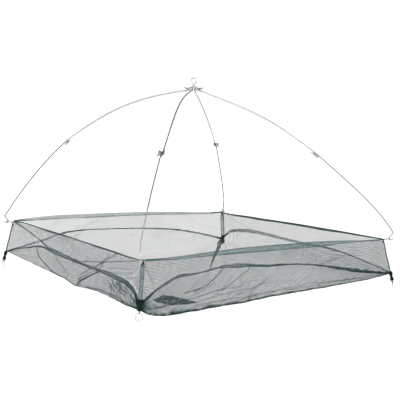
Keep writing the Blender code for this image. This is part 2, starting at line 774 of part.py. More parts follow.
def floor_point(x, y, half):
    """The floor over a unit square: x along the side and y out from the middle, both up to 1."""
    out = y * half - SKIRT_SET_BACK * (y * y - x * x)
    edge = FLOOR_DROP - SKIRT_DROP
    drop = FLOOR_DROP - edge * y * y - SKIRT_CORNER_RISE * (x * y) ** 3 * x * y + CORD / 2 + GAP
    return Vector((out, x * half, -drop))


def floor_net(side, wall):
    """A quarter of the floor, from one side to the middle, in squares cut off along the diagonals."""
    azimuth = SIDES[side][0]
    half = floor_half()
    edge = floor_point(0.0, 1.0, half)
    apart = (CORD + GAP) / math.sqrt(2) + GAP
    carrier = pivot(f"floor_joint_{side}", upright(azimuth, edge.x, RIM_Z + edge.z), wall)
    shape = bmesh.new()
    bmesh.ops.create_grid(shape, x_segments=2 * MESH_ROWS, y_segments=MESH_ROWS, size=1.0)
    for vert in shape.verts:
        vert.co.y = (vert.co.y + 1) / 2
    shape.verts.ensure_lookup_table()
    cell = 1 / MESH_ROWS
    for face in list(shape.faces):
        middle = face.calc_center_median()
        if abs(abs(middle.x) - middle.y) < cell / 4:
            ends = [vert for vert in face.verts if abs(abs(vert.co.x) - vert.co.y) < cell / 4]
            bmesh.utils.face_split(face, ends[0], ends[1])
    outside = [face for face in shape.faces
               if abs(face.calc_center_median().x) > face.calc_center_median().y]
    bmesh.ops.delete(shape, geom=outside, context="FACES")
    for vert in shape.verts:
        placed = floor_point(vert.co.x, vert.co.y, half)
        vert.co = placed - edge + Vector((apart, 0, 0))
    return lattice(f"floor_net_{side}", shape, NETTING, carrier)


hub_carrier = make_hub()
for corner_name in CORNERS:
    make_arm(corner_name, hub_carrier)
for side_name in SIDES:
    floor_net(side_name, make_wall(side_name))
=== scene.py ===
"""Looks of a square folding lift net: galvanised wire arms over a shallow bag of fine dark green netting.

Every piece is a surface computed from a formula on a grid of two parameters. Lengths are in metres and
heights of the net are drops below its rim.
"""
import math

import bpy
import numpy as np
from mathutils import Matrix, Vector
from numpy import cos, exp, pi, sin


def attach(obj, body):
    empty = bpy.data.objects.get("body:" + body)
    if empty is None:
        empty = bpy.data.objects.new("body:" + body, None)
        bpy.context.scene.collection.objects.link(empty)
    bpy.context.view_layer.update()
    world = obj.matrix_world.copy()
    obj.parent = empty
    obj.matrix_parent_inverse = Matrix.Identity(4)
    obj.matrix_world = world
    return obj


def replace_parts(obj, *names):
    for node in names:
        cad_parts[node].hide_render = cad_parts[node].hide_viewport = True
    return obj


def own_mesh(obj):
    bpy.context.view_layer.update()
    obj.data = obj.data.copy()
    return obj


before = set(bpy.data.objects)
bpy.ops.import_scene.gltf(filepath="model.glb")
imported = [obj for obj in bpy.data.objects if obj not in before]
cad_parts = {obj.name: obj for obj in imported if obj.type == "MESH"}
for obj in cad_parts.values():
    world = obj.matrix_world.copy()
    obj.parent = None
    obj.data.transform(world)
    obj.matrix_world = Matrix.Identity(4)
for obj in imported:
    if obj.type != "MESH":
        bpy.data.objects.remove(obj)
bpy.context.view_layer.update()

# Sizes shared with the solids
ARM_WIRE = .004
HUB_WIRE = .003
LINK_WIRE = .002
RING_WIRE = .002
GAP = .0004
EYE_RADIUS = .011
EYE_JOIN_ANGLE = 28
HUB_RING_RADIUS = .024
HUB_HOOK_TURN = 270
HUB_LEG_ANGLE = 15
HUB_BEND_SHARE = .5
HUB_HEIGHT = .526
KNEE_REACH = .472
KNEE_HEIGHT = .309
FRAME_LEAN = .017
ARM_EYE_RADIUS = HUB_WIRE / 2 + .0005 + ARM_WIRE / 2
BOLT_DIAMETER = .005
KNEE_EYE_RADIUS = BOLT_DIAMETER / 2 + GAP + ARM_WIRE / 2
ARM_EYE_TAIL = .01
ARM_EYE_TAIL_RISE = 32
UPPER_TAIL = .019
LOWER_TAIL = .013
KNEE_OFFSET = ARM_WIRE + GAP
KNEE_EYE_TURN = 191
UPPER_FALL = 36
LOWER_FALL = 41
HEAD_DIAMETER = .0095
BOLT_TAIL = .0035
WASHER_DIAMETER = .012
WASHER_THICKNESS = .001
NUT_DIAMETER = .011
NUT_HEIGHT = .006
NUT_REST_TURN = 38
CURL_RADIUS = .006
CURL_START = 138.5
CURL_TURN = 176
CURL_SHANK = .016
ELBOW_RADIUS = .005
ELBOW_START = 32
LINK_RADIUS = .012
LINK_RISE = 13
CURL_TO_LINK = CURL_RADIUS - ARM_WIRE / 2 - GAP - LINK_WIRE / 2
LINK_REACH = CURL_TO_LINK + 2 * LINK_RADIUS
EYE_CENTRE_Z = -(EYE_RADIUS - HUB_WIRE / 2)
HUB_Z = EYE_CENTRE_Z - .031
RIM_Z = HUB_Z - HUB_HEIGHT
NET_SIDE = 1.0
RIM_CORNER = NET_SIDE / math.sqrt(2)
CORNER_DROP = .135
CORNER_SPLAY = .034
SPLAY_PER_DROP = CORNER_SPLAY / CORNER_DROP
SPLAY_ANGLE = math.degrees(math.atan(SPLAY_PER_DROP))
WALL_BOW = .012
TIE_TOP_DROP = .117
TIE_LENGTH = .033
CORD_RADIUS = .0011
TIE_LOOP_RADIUS = RING_WIRE / 2 + GAP + CORD_RADIUS
RING_RADIUS = .0125

# Netting: mesh and thread, those of the tapes, and the floor
MESH = .0042
THREAD = .00094
TAPE_WEAVE = (.003, .00056)
FLOOR_CENTRE_DROP = .166
FLOOR_CORNER = .515

# Azimuth of each corner, the side of its upper arm that the nut is on, and which way its knee leans
CORNERS = {
    "front_left": (-135, -1, 0.0),
    "front_right": (-45, 1, -1.0),
    "back_right": (45, -1, 0.0),
    "back_left": (135, -1, 1.0),
}
SIDES = {"front": -90, "right": 0, "back": 90, "left": 180}
# The corners at the start and end of each side
SIDE_ENDS = dict(zip(SIDES, zip(CORNERS, [*CORNERS][1:] + [*CORNERS][:1])))


def by_side(*rows):
    """Values for the front, right, back and left side."""
    return dict(zip(SIDES, rows))


def by_corner(*rows):
    """Values for the front left, front right, back right and back left corner."""
    return dict(zip(CORNERS, rows))


# How each upper arm is sprung: its fall at the hub in degrees, and how far its bend reaches
ARCHES = by_corner((8, .46), (20, .46), (20, .3), (8, .4))
# Painted shine of each upper and lower arm, from 0, dark, to 1: the zinc is painted darker or brighter for
# painted reflections and shade
ARM_PAINTED_SHINES = by_corner((.25, .5), (1, .5), (.42, 0), (.8, .1))
# Height over the rim below which the front left lower arm is painted near white: a painted highlight
HIGHLIGHT_HEIGHT = .165
HIGHLIGHT_SHINE = 1.3
# Half width of each corner tape, layers in its middle and how many more at its edges
BAND_SHAPES = by_corner((.0064, 1.35, .5), (.004, 3, 3), (.008, 1.1, 2.2), (.0042, 3, 3))
KNOT_SIZES = by_corner(1, .5, .6, .5)
# How much netting each lower corner draws together, and over what distance
GATHERS = by_corner((.6, .026), (.55, .022), (.3, .016), (.35, .018))

# Fine creases: how many, box along the side and down, heading, spread, length, strength
WALL_CREASES = by_side(
    [(14, -.49, .49, .01, .1, -20, 20, .1, .2), (6, .25, .49, .02, .1, -50, 18, .07, .3)],
    [(12, -.49, .49, .01, .09, -15, 30, .1, .2)],
    [(16, -.49, .49, .01, .08, 10, 30, .12, .25)],
    [(14, -.49, .49, .01, .09, 20, 22, .12, .22)],
)
SKIRT_CREASES = by_side(
    [(30, -.3, .35, .07, .14, -42, 12, .09, .4), (24, -.45, .48, .13, .165, -8, 9, .09, .6),
     (10, -.45, -.1, .06, .13, 128, 10, .08, .45)],
    [(16, -.48, .48, .08, .15, 10, 30, .09, .3)],
    [(20, -.48, .48, .06, .15, 10, 30, .12, .3)],
    [(44, .27, .46, .08, .144, 60, 22, .026, 1.3), (16, -.45, .3, .07, .15, 35, 26, .08, .35)],
)
FLOOR_CREASES = [
    (40, -.5, .5, -.5, .5, 52, 24, .26, .26), (30, -.5, .5, -.5, .5, 140, 26, .2, .22),
    (14, -.5, -.2, -.5, -.2, 60, 30, .12, .5),
]
# Folds: half width, how many more layers lie there, places and drops of the line in turn
WALL_FOLDS = by_side(
    [(.003, .5, -1, .01, -.93, .06, -.9, .1)],
    [(.003, .5, 1, .004, .8, .03, .55, .06)],
    [(.0025, .5, 1, .004, .8, .03, .6, .058)],
    [(.0015, 5.5, -.99, -.006, -.86, .001, -.67, .016, -.49, .035, -.37, .052, -.3, .06),
     (.0011, 2.6, -.45, .038, -.31, .052, -.23, .058, -.16, .063),
     (.0014, 2.4, .33, .076, .44, .053, .51, .038, .61, .018, .69, 0),
     (.0012, 2.6, .17, .066, .26, .058, .44, .047, .58, .036, .72, .024, .85, .013, .97, .005)],
)
SKIRT_FOLDS = by_side(
    [(.0013, 3.2, -.4, .046, -.44, .066, -.47, .079, -.51, .093, -.54, .103, -.6, .109, -.69, .113),
     (.0011, 1.8, -.46, .09, -.53, .108, -.61, .124, -.64, .13),
     (.0012, 2, -.19, .046, -.2, .062, -.26, .079, -.33, .102, -.4, .12),
     (.0014, 1.4, -.11, .123, -.31, .129, -.39, .132, -.48, .139, -.6, .148),
     (.0018, 1, -.6, .16, -.4, .152, -.15, .152, .05, .146),
     (.0018, .9, .1, .146, .3, .14, .55, .131, .75, .128)],
    [(.0035, .5, -.6, .083, -.45, .115, -.3, .145), (.0013, 1.6, .88, .098, .91, .14),
     (.0013, 2, .81, .092, .84, .14), (.0012, 1.8, .75, .086, .79, .14),
     (.0012, 1.2, .67, .078, .7, .13)],
    [],
    [(.0017, 6, -.54, .064, -.52, .086, -.47, .101, -.41, .116, -.33, .132, -.27, .1425, -.19, .1455,
     -.1, .15), (.0016, 2.2, -.26, .066, -.22, .088, -.16, .104, -.1, .117, -.05, .13),
     (.0018, 4.6, .05, .16, .12, .136, .28, .104, .39, .084, .48, .072),
     (.0014, 2.2, .12, .116, .2, .099, .33, .074), (.0011, 3.6, .61, .097, .69, .115, .74, .125),
     (.0011, 3.6, .67, .095, .76, .111, .8, .126), (.0012, 2, .53, .1, .62, .12, .68, .128),
     (.0028, 1.6, .18, .152, .41, .139, .56, .139, .71, .141, .9, .144)],
)
# Folds in the floor: half width, more layers, x and y of the line in turn
FLOOR_FOLDS = [
    (.0042, 1.2, -.485, -.05, -.43, .06, -.34, .15, -.27, .21, -.18, .35, -.1, .45, -.02, .49),
    (.004, .6, .5, .49, .3, .38, .05, .3), (.005, 1.6, -.5, -.5, -.3, -.36, -.05, -.28, .2, -.3),
    (.0045, 1.4, -.495, -.49, -.4, -.25, -.36, 0), (.0045, 1.5, .49, -.5, .25, -.4, 0, -.42, -.2, -.47),
    (.0045, 1.2, -.49, .48, -.3, .3, -.1, .1), (.004, 1, -.1, -.49, .02, -.36, .2, -.22, .3, .05),
]

# Curves along the sides, as places from -1 to 1 and values in turn: drops of the arched seam and bottom fold
SEAMS = by_side(
    [-1, .128, -.96, .115, -.9, .094, -.83, .077, -.76, .062, -.73, .058, -.65, .057, -.51, .05,
     -.45, .045, -.3, .044, -.19, .047, -.09, .053, .1, .056, .23, .06, .4, .071, .57, .087, .66, .096,
     .76, .105, .87, .112, .93, .117, 1, .12],
    [-1, .118, -.97, .113, -.83, .098, -.64, .08, -.44, .07, -.17, .069, .09, .067, .35, .063, .5, .063,
     .64, .067, .8, .077, .88, .087, .93, .101, 1, .122],
    [-1, .128, -.78, .098, -.55, .073, -.19, .054, .01, .049, .19, .046, .42, .046, .5, .049, .59, .056,
     .67, .068, .75, .08, .83, .09, .9, .101, .95, .106, 1, .114],
    [-1, .116, -.95, .109, -.8, .089, -.65, .074, -.54, .063, -.44, .058, -.32, .061, -.17, .065,
     -.01, .07, .14, .073, .29, .076, .43, .075, .58, .076, .72, .08, .79, .082, .85, .088, .9, .095,
     .93, .104, .96, .118, 1, .13],
)
BOTTOMS = by_side(
    [-1, .144, -.96, .156, -.9, .166, -.85, .171, -.6, .175, -.45, .173, -.17, .17, -.02, .164, .1, .16,
     .3, .156, .55, .147, .72, .141, .8, .137, .89, .131, 1, .122],
    [-1, .122, -.8, .135, -.5, .146, 0, .15, .5, .147, 1, .13],
    [-1, .13, -.5, .146, 0, .149, .5, .138, 1, .112],
    [-1, .112, -.88, .119, -.78, .124, -.63, .131, -.48, .138, -.33, .143, -.19, .147, -.11, .151,
     -.04, .158, .02, .163, .08, .16, .26, .153, .41, .15, .86, .149, 1, .144],
)
# Width of each seam's tape, and how far it is turned from lying in the wall
SEAM_WIDTHS = by_side(
    [-1, .008, -.9, .008, -.8, .008, -.7, .009, -.6, .007, -.48, .009, -.36, .014, -.28, .014, -.2, .009,
     -.1, .008, .1, .007, .4, .007, .6, .01, .72, .013, .85, .01, 1, .008],
    [-1, .008, -.5, .009, -.1, .01, .2, .014, .7, .015, 1, .01],
    [-1, .009, -.4, .007, 0, .006, .3, .006, .6, .012, .8, .01, 1, .008],
    [-1, .007, -.6, .007, -.4, .008, -.3, .013, 0, .014, .2, .009, .4, .01, .6, .014, .9, .014, 1, .01],
)
SEAM_TURNS = by_side(
    [-1, 1.3, -.85, 1.5, -.72, 1.3, -.62, .4, -.45, .25, -.28, 1, -.15, 1.3, 0, 1, .15, .5, .3, .4,
     .45, .8, 1, .9],
    [-1, .7, -.5, .9, 0, 1.1, 1, 1.4],
    [-1, 1.4, -.4, 1.2, 0, .9, .4, .8, 1, .9],
    [-1, .9, -.8, .5, -.62, 1, -.3, 1.1, 0, .45, .3, .9, .6, 1.3, .85, 1.45, 1, 1.2],
)
# Layers in the middle of each seam's tape, how many more there are at its edges, and how ruffled it is
SEAM_MIDDLES = by_side(
    [-1, 1.6, -.5, 1.4, -.3, 1.2, -.1, 2.2, .2, 2.6, .5, 3, 1, 3.2],
    [-1, 2.2, -.4, 1.9, 0, 1.5, 1, 1.4],
    [-1, 1.4, 0, 2, .45, 2.2, .65, .9, 1, 1.4],
    [-1, 2.4, -.4, 2.2, -.2, 1.2, .2, 1.8, .6, 1.4, 1, 2.4],
)
SEAM_EDGES = by_side(
    [-1, 4, 1, 4],
    [-1, 3.4, 0, 1.5, 1, 1],
    [-1, 1, 0, 1.3, 1, 2.4],
    [-1, 3.4, 1, 4.2],
)
SEAM_RUFFLES = by_side(
    [-1, .1, .2, .2, .45, 1, .9, 1, 1, .1],
    [-1, .1, 1, .1],
    [-1, .1, 1, .1],
    [-1, .3, 1, .3],
)
# Layers rolled up in the bottom fold, and how wide the roll is
BOTTOM_ROLLS = by_side(
    [-1, .6, -.9, 1.8, -.75, 3.6, -.3, 4.2, 0, 4.4, .3, 4.2, .5, 3, .7, 2.2, 1, 1.8],
    [-1, 1.2, -.6, .3, 1, 0],
    [-1, 0, 1, .2],
    [-1, 1, -.35, 1.2, -.25, 3.4, 0, 3.4, .1, 1.6, .4, 2.2, .8, 3.4, 1, 2.6],
)
BOTTOM_WIDTHS = by_side(
    [-1, .004, -.9, .007, -.5, .0065, -.2, .0055, .3, .0045, .6, .0035, 1, .003],
    [-1, .003, 1, .003],
    [-1, .003, 1, .003],
    [-1, .0025, 0, .003, .6, .003, .8, .0045, 1, .004],
)
# Average count of layers in each panel
WALL_LAYERS = by_side(
    [-1, 1.1, 1, 1.08],
    [-1, 1.3, 1, 1.34],
    [-1, 1.12, .6, 1.12, 1, .95],
    [-1, .85, -.6, .95, -.2, 1.1, 1, 1.16],
)
SKIRT_LAYERS = by_side(
    [-1, 1.5, -.9, 1.5, -.6, 1.25, 0, 1.15, .4, 1.3, .8, 1.6, 1, 2],
    [-1, 1.8, 0, 1.5, 1, 1.2],
    [-1, 1.24, 1, 1.24],
    [-1, .85, -.6, .95, -.3, 1.1, .4, 1.3, .8, 1.6, 1, 2],
)
# How high the top edge of each hem stands over the rim's plane, and how wide the hem is
HEM_TOPS = by_side(
    [-1, .002, -.9, .002, -.75, .003, -.55, .008, -.3, .013, .05, .014, .4, .013, .6, .009, .8, .005,
     1, .002],
    [-1, .004, -.6, .005, 0, .004, .4, .001, .7, -.001, .9, -.003, 1, -.001],
    [-1, 0, -.8, .001, -.68, .004, -.5, .01, -.3, .014, 0, .018, .35, .02, .8, .018, 1, .01],
    [-1, .006, -.87, .0115, -.5, .011, -.15, .0095, .16, .0065, .4, .0045, .65, .002, .9, -.001, 1, 0],
)
HEM_WIDTHS = by_side(
    [-1, .005, -.85, .009, -.65, .013, -.3, .018, .05, .021, .4, .019, .6, .012, .8, .007, 1, .004],
    [-1, .005, -.7, .01, 0, .012, .7, .011, 1, .005],
    [-1, .005, -.8, .008, -.5, .012, 0, .015, .5, .016, .85, .012, 1, .006],
    [-1, .005, -.8, .01, 0, .012, .8, .011, 1, .005],
)

# Lean of each hem from upright, where the ones at the sides are rolled flat, and its thickness
HEMS = by_side((8, 1.25), (52, 2.3), (10, 1.2), (48, 5))
# Painted shadow on the floor along the bottom fold, given as more layers close to it and further in; lighter
# where negative
FLOOR_EDGE_SHADOWS = by_side((1.2, .15), (.2, .2), (0, -.12), (1.2, .1))
# How far the rows of mesh run off the line of the rim, as each side or panel was cut
NET_BIAS = {**by_side(-22, 24, 4, -24), "wall_net_front": 0}
# Folds, creases, layers, rows of points, stiffness at the corners, billow's height, length and seed, gather
PANELS = {
    "wall": (WALL_FOLDS, WALL_CREASES, WALL_LAYERS, 44, 6, .0035, .3, 0, 2),
    "skirt": (SKIRT_FOLDS, SKIRT_CREASES, SKIRT_LAYERS, 50, 8, .004, .24, 2, 5),
}
ALONG = np.linspace(-1, 1, 521)


# Numbers


def unit(degrees):
    angle = np.radians(degrees)
    return np.array([cos(angle), sin(angle)])


def circle(steps):
    """Angles evenly spread round a circle."""
    return np.linspace(0, 2 * pi, steps, endpoint=False)


def crossed(rows, columns):
    return np.meshgrid(rows, columns, indexing="ij")


def around(rows, columns):
    """Shares from 0 to 1 down the rows and angles along the columns of a grid."""
    return crossed(np.linspace(0, 1, rows), circle(columns))


def stacked(*parts):
    """Points from their coordinates, each spread over the shape of the others."""
    return np.stack(np.broadcast_arrays(*parts), -1)


def smooth(t):
    t = np.clip(t, 0, 1)
    return t * t * (3 - 2 * t)


def through(points, x):
    """Smooth curve through places and values listed in turn: cubic Hermite pieces."""
    p = np.reshape(points, (-1, 2))
    slope = np.gradient(p[:, 1], p[:, 0])
    i = np.clip(np.searchsorted(p[:, 0], x, side="right") - 1, 0, len(p) - 2)
    h = p[i + 1, 0] - p[i, 0]
    t = (x - p[i, 0]) / h
    return ((2 * t**3 - 3 * t**2 + 1) * p[i, 1] + (t**3 - 2 * t**2 + t) * h * slope[i]
            + (3 * t**2 - 2 * t**3) * p[i + 1, 1] + (t**3 - t**2) * h * slope[i + 1])


def ripple(x, scale, seed, y=0.0):
    """Gentle unevenness from -1 to 1: a sum of three crossed sine waves of unlike lengths."""
    a = 2 * pi / scale
    return (sin(a * (x + .31 * y) + seed) + .7 * sin(a * 1.73 * (y - .42 * x) + 2.1 * seed + 1.3)
            + .5 * sin(a * 2.61 * (x * .8 + y) + 3.7 * seed + .4)) / 2.2


def near_line(x, y, line):
    """Distance from points to a broken line, and how far along it the nearest point is, from 0 to 1."""
    best, along, start = np.full(np.shape(x), 1e9), np.zeros(np.shape(x)), 0.0
    lengths = np.hypot(*np.diff(line, axis=0).T)
    for a, b, size in zip(line, line[1:], lengths):
        d = b - a
        t = np.clip(((x - a[0]) * d[0] + (y - a[1]) * d[1]) / (d @ d), 0, 1)
        gap = np.hypot(x - a[0] - t * d[0], y - a[1] - t * d[1])
        closer = gap < best
        best = np.where(closer, gap, best)
        along = np.where(closer, (start + t * size) / lengths.sum(), along)
        start += size
    return best, along


def creases(seed, count, left, right, top, bottom, heading, spread, length, strength):
    """Short fine creases strewn over a box, each near the heading and slightly bent."""
    pick = np.random.RandomState(seed)
    lines = []
    for _ in range(count):
        place = np.array([pick.uniform(left, right), pick.uniform(top, bottom)])
        turn = heading + pick.normal() * spread
        size = length * pick.uniform(.5, 1.5)
        first = unit(turn) * size / 2
        last = unit(turn + pick.normal() * 14) * size / 2
        lines.append((pick.uniform(.0011, .0024), strength * pick.uniform(.3, 1.6),
                      place - first, place, place + last))
    return lines


def fold_field(x, y, folds):
    """Extra layers and height of the folds: each a bell across its line, fading at its ends."""
    layers, height = np.zeros(x.shape), np.zeros(x.shape)
    for width, more, *line in folds:
        line = np.reshape(line, (-1, 2))
        low = line.min(0) - 6 * width
        high = line.max(0) + 6 * width
        near = (x > low[0]) & (x < high[0]) & (y > low[1]) & (y < high[1])
        gap, along = near_line(x[near], y[near], line)
        wide = width * (1.15 - .45 * along)
        ends = smooth(np.minimum(along, 1 - along) * 12 + .35)
        layers[near] += more * exp(-(gap / wide) ** 2) * ends
        height[near] += .0003 * more * exp(-(gap / (2.2 * wide)) ** 2)
    return layers, height


# Meshes


def linked(name, data):
    """A new object in the scene."""
    made = bpy.data.objects.new(name, data)
    bpy.context.scene.collection.objects.link(made)
    return made


def grid(name, points, finish, uv=None, layers=1.0, close_u=False, close_v=False):
    """A surface on an n by m grid of points, with UV in metres and a count of netting layers, which on wires
    carries their painted shine.
    """
    n, m = points.shape[:2]
    i, j = crossed(np.arange(n if close_u else n - 1), np.arange(m if close_v else m - 1))
    i2, j2 = (i + 1) % n, (j + 1) % m
    quads = np.stack([i * m + j, i2 * m + j, i2 * m + j2, i * m + j2], -1).reshape(-1, 4)
    mesh = bpy.data.meshes.new(name)
    mesh.vertices.add(n * m)
    mesh.vertices.foreach_set("co", points.ravel().astype(np.float32))
    mesh.loops.add(quads.size)
    mesh.loops.foreach_set("vertex_index", quads.ravel().astype(np.int32))
    mesh.polygons.add(len(quads))
    mesh.polygons.foreach_set("loop_start", np.arange(0, quads.size, 4, dtype=np.int32))
    mesh.update(calc_edges=True)
    if uv is None:
        steps = [np.linalg.norm(np.roll(points, -1, k) - points, axis=2).mean(1 - k) for k in (0, 1)]
        uu, vv = (np.append(0, step.cumsum()) for step in steps)
        corner = np.stack([stacked(uu[i + a], vv[j + b]) for a, b in ((0, 0), (1, 0), (1, 1), (0, 1))], -2)
    else:
        corner = uv.reshape(-1, 2)[quads]
    mesh.uv_layers.new(name="UVMap").data.foreach_set("uv", corner.ravel().astype(np.float32))
    values = np.broadcast_to(layers, (n, m)).ravel().astype(np.float32)
    mesh.attributes.new("layers", "FLOAT", "POINT").data.foreach_set("value", values)
    mesh.shade_smooth()
    mesh.materials.append(finish)
    return linked(name, mesh)


def joined(name, parts):
    """Several surfaces made one piece."""
    with bpy.context.temp_override(active_object=parts[0], selected_editable_objects=parts,
                                   selected_objects=parts, object=parts[0]):
        bpy.ops.object.join()
    parts[0].name = parts[0].data.name = name
    return parts[0]


def frames_along(path, closed):
    """Tangent, side and up at each point of a path, carried along it with the least turning."""
    if closed:
        tangent = np.roll(path, -1, 0) - np.roll(path, 1, 0)
    else:
        tangent = np.gradient(path, axis=0)
    tangent /= np.linalg.norm(tangent, axis=1)[:, None]
    side = np.zeros_like(path)
    first = np.cross(tangent[0], [0, 0, 1.0])
    if np.linalg.norm(first) < .2:
        first = np.cross(tangent[0], [0, 1.0, 0])
    side[0] = first / np.linalg.norm(first)
    for k in range(1, len(path)):
        s = side[k - 1] - tangent[k] * (side[k - 1] @ tangent[k])
        side[k] = s / np.linalg.norm(s)
    return tangent, side, np.cross(tangent, side)


def tube(name, path, radius, finish, sides=14, closed=False, flat=1.0, twist=0.0, layers=1.0):
    """A wire along a path: circles (ellipses, with flat under 1) square to it, closed by round ends."""
    path = np.array(path, float)
    radius, twist = (np.broadcast_to(value, len(path)) for value in (radius, twist))
    layers = np.broadcast_to(layers, (len(path), sides))
    tangent, side, up = frames_along(path, closed)
    if not closed:
        ends, reach = np.array([.02, .55, .86]), np.array([.5, .36, .19])
        head = path[0] - tangent[0] * (radius[0] * reach)[:, None]
        tail = path[-1] + tangent[-1] * (radius[-1] * reach[::-1])[:, None]
        path = np.concatenate([head, path, tail])
        side, up, twist, layers = (np.concatenate([*[row[:1]] * 3, row, *[row[-1:]] * 3])
                                   for row in (side, up, twist, layers))
        radius = np.concatenate([radius[0] * ends, radius, radius[-1] * ends[::-1]])
    a, b, turn = cos(circle(sides)), sin(circle(sides)) * flat, twist[:, None]
    x = a * cos(turn) - b * sin(turn)
    y = a * sin(turn) + b * cos(turn)
    points = x[..., None] * side[:, None] + y[..., None] * up[:, None]
    points = path[:, None] + radius[:, None, None] * points
    return grid(name, points, finish, layers=layers, close_u=closed, close_v=True)


def turned(name, profile, finish):
    """A shape turned round the Z axis from a profile of (radius, height), listed from the bottom up."""
    radius, height = np.array(profile, float)[::-1].T[..., None]
    theta = circle(28)
    return grid(name, stacked(radius * cos(theta), radius * sin(theta), height), finish, close_v=True)


def hoop(name, radius, steps, matrix, half, finish, sides, layers=1.0):
    """A closed ring of wire in the XY plane of a frame."""
    a = circle(steps)
    path = placed(stacked(radius * cos(a), radius * sin(a), 0.0), matrix)
    return tube(name, path, half, finish, sides, True, layers=layers)


def placed(points, matrix):
    return points @ matrix[:3, :3].T + matrix[:3, 3]


def move_mesh(piece, matrix):
    """Bakes a frame into a piece's vertices, so that its own origin stays at the row's."""
    co = np.zeros(len(piece.data.vertices) * 3, np.float32)
    piece.data.vertices.foreach_get("co", co)
    piece.data.vertices.foreach_set("co", placed(co.reshape(-1, 3), matrix).ravel().astype(np.float32))
    piece.data.update()
    return piece


def rotation(axis, degrees):
    a = math.radians(degrees)
    i, j = {"X": (1, 2), "Y": (2, 0), "Z": (0, 1)}[axis]
    made = np.eye(4)
    made[i, i] = made[j, j] = math.cos(a)
    made[j, i], made[i, j] = math.sin(a), -math.sin(a)
    return made


def shift(x, y, z):
    made = np.eye(4)
    made[:3, 3] = (x, y, z)
    return made


def upright(azimuth, reach, height):
    return rotation("Z", azimuth) @ shift(reach, 0.0, height)


def on_arm(azimuth, points, across):
    """Points of an arm's plane, as reach and height above the rim, put in the row frame."""
    return placed(stacked(points[:, 0], across, points[:, 1] + RIM_Z), rotation("Z", azimuth))


def enter(piece, body, node):
    """Rides a piece on its body in place of a node of the solids."""
    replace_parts(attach(piece, body), node)


# Finishes


class Sock:
    """A shader value that arithmetic can be written on."""

    def __init__(self, tree, socket):
        self.tree, self.socket = tree, socket

    def node(self, kind, inputs=(), out=0, **settings):
        made = self.tree.nodes.new("ShaderNode" + kind)
        for key, value in settings.items():
            setattr(made, key, value)
        for key, value in dict(inputs).items():
            if isinstance(value, Sock):
                self.tree.links.new(value.socket, made.inputs[key])
            else:
                made.inputs[key].default_value = value
        return Sock(self.tree, made.outputs[out])

    def other(self, out):
        """Another output of the same node."""
        return Sock(self.tree, self.socket.node.outputs[out])

    def math(self, operation, *others):
        return self.node("Math", enumerate((self, *others)), operation=operation)

    def __add__(self, other):
        return self.math("ADD", other)

    def __mul__(self, other):
        return self.math("MULTIPLY", other)

    def __sub__(self, other):
        return self.math("SUBTRACT", other)

    def __rsub__(self, other):
        return (self * -1.0) + other

    def __truediv__(self, other):
        return self.math("DIVIDE", other)

    def mix(self, *colours):
        """A colour between two, by this value from 0 to 1."""
        low, high = (colour if isinstance(colour, Sock) else (*colour, 1.0) for colour in colours)
        return self.node("Mix", {0: self, 6: low, 7: high}, out=2, data_type="RGBA")

    def noise(self, scale, detail=3.0, out=0):
        coords = self.node("TexCoord", out=3)
        return self.node("TexNoise", {0: coords, "Scale": scale, "Detail": detail}, out=out)


def new_finish(name, colour, roughness, metallic=0.0, specular=.5):
    """A Principled material, with its shader and a first socket to write from."""
    made = bpy.data.materials.new(name)
    made.use_nodes = True
    shader = made.node_tree.nodes["Principled BSDF"]
    for key, value in (("Base Color", (*colour, 1.0)), ("Roughness", roughness), ("Metallic", metallic),
                       ("Specular IOR Level", specular)):
        shader.inputs[key].default_value = value
    return made, shader, Sock(made.node_tree, None)


def feed(shader, **sockets):
    for key, value in sockets.items():
        shader.id_data.links.new(value.socket, shader.inputs[key.replace("_", " ")])


def wire_finish():
    """Galvanised wire: clouded zinc whose brightness is painted: low shine paints it dark for painted shade,
    and shine over 1 turns it near white as a painted highlight.
    """
    made, shader, any_sock = new_finish("galvanised_wire", (.28, .28, .27), .34, .92)
    cloud = any_sock.noise(90)
    # The layers attribute carries the painted shine: the zinc is painted from dark to bright for painted
    # reflections and shade.
    painted_shine = any_sock.node("Attribute", out=2, attribute_name="layers")
    # Shine over 1 is a painted highlight: the zinc turns near white and loses its metal.
    painted_highlight = painted_shine - 1.0
    zinc = painted_shine.mix((.13, .13, .125), cloud.mix((.5, .5, .49), (.72, .72, .7)))
    feed(shader, Base_Color=painted_highlight.mix(zinc, (.97, .97, .96)), Roughness=cloud * .2 + .2,
         Metallic=.92 - painted_highlight.math("MAXIMUM", 0.0) * 1.1)
    return made


def zinc_finish():
    """Bluish zinc plate of the bolts and wing nuts."""
    made, shader, any_sock = new_finish("zinc_plate", (.34, .43, .5), .48, .45)
    cloud = any_sock.noise(220)
    feed(shader, Base_Color=cloud.mix((.3, .4, .46), (.46, .57, .64)), Roughness=cloud * .3 + .28)
    return made


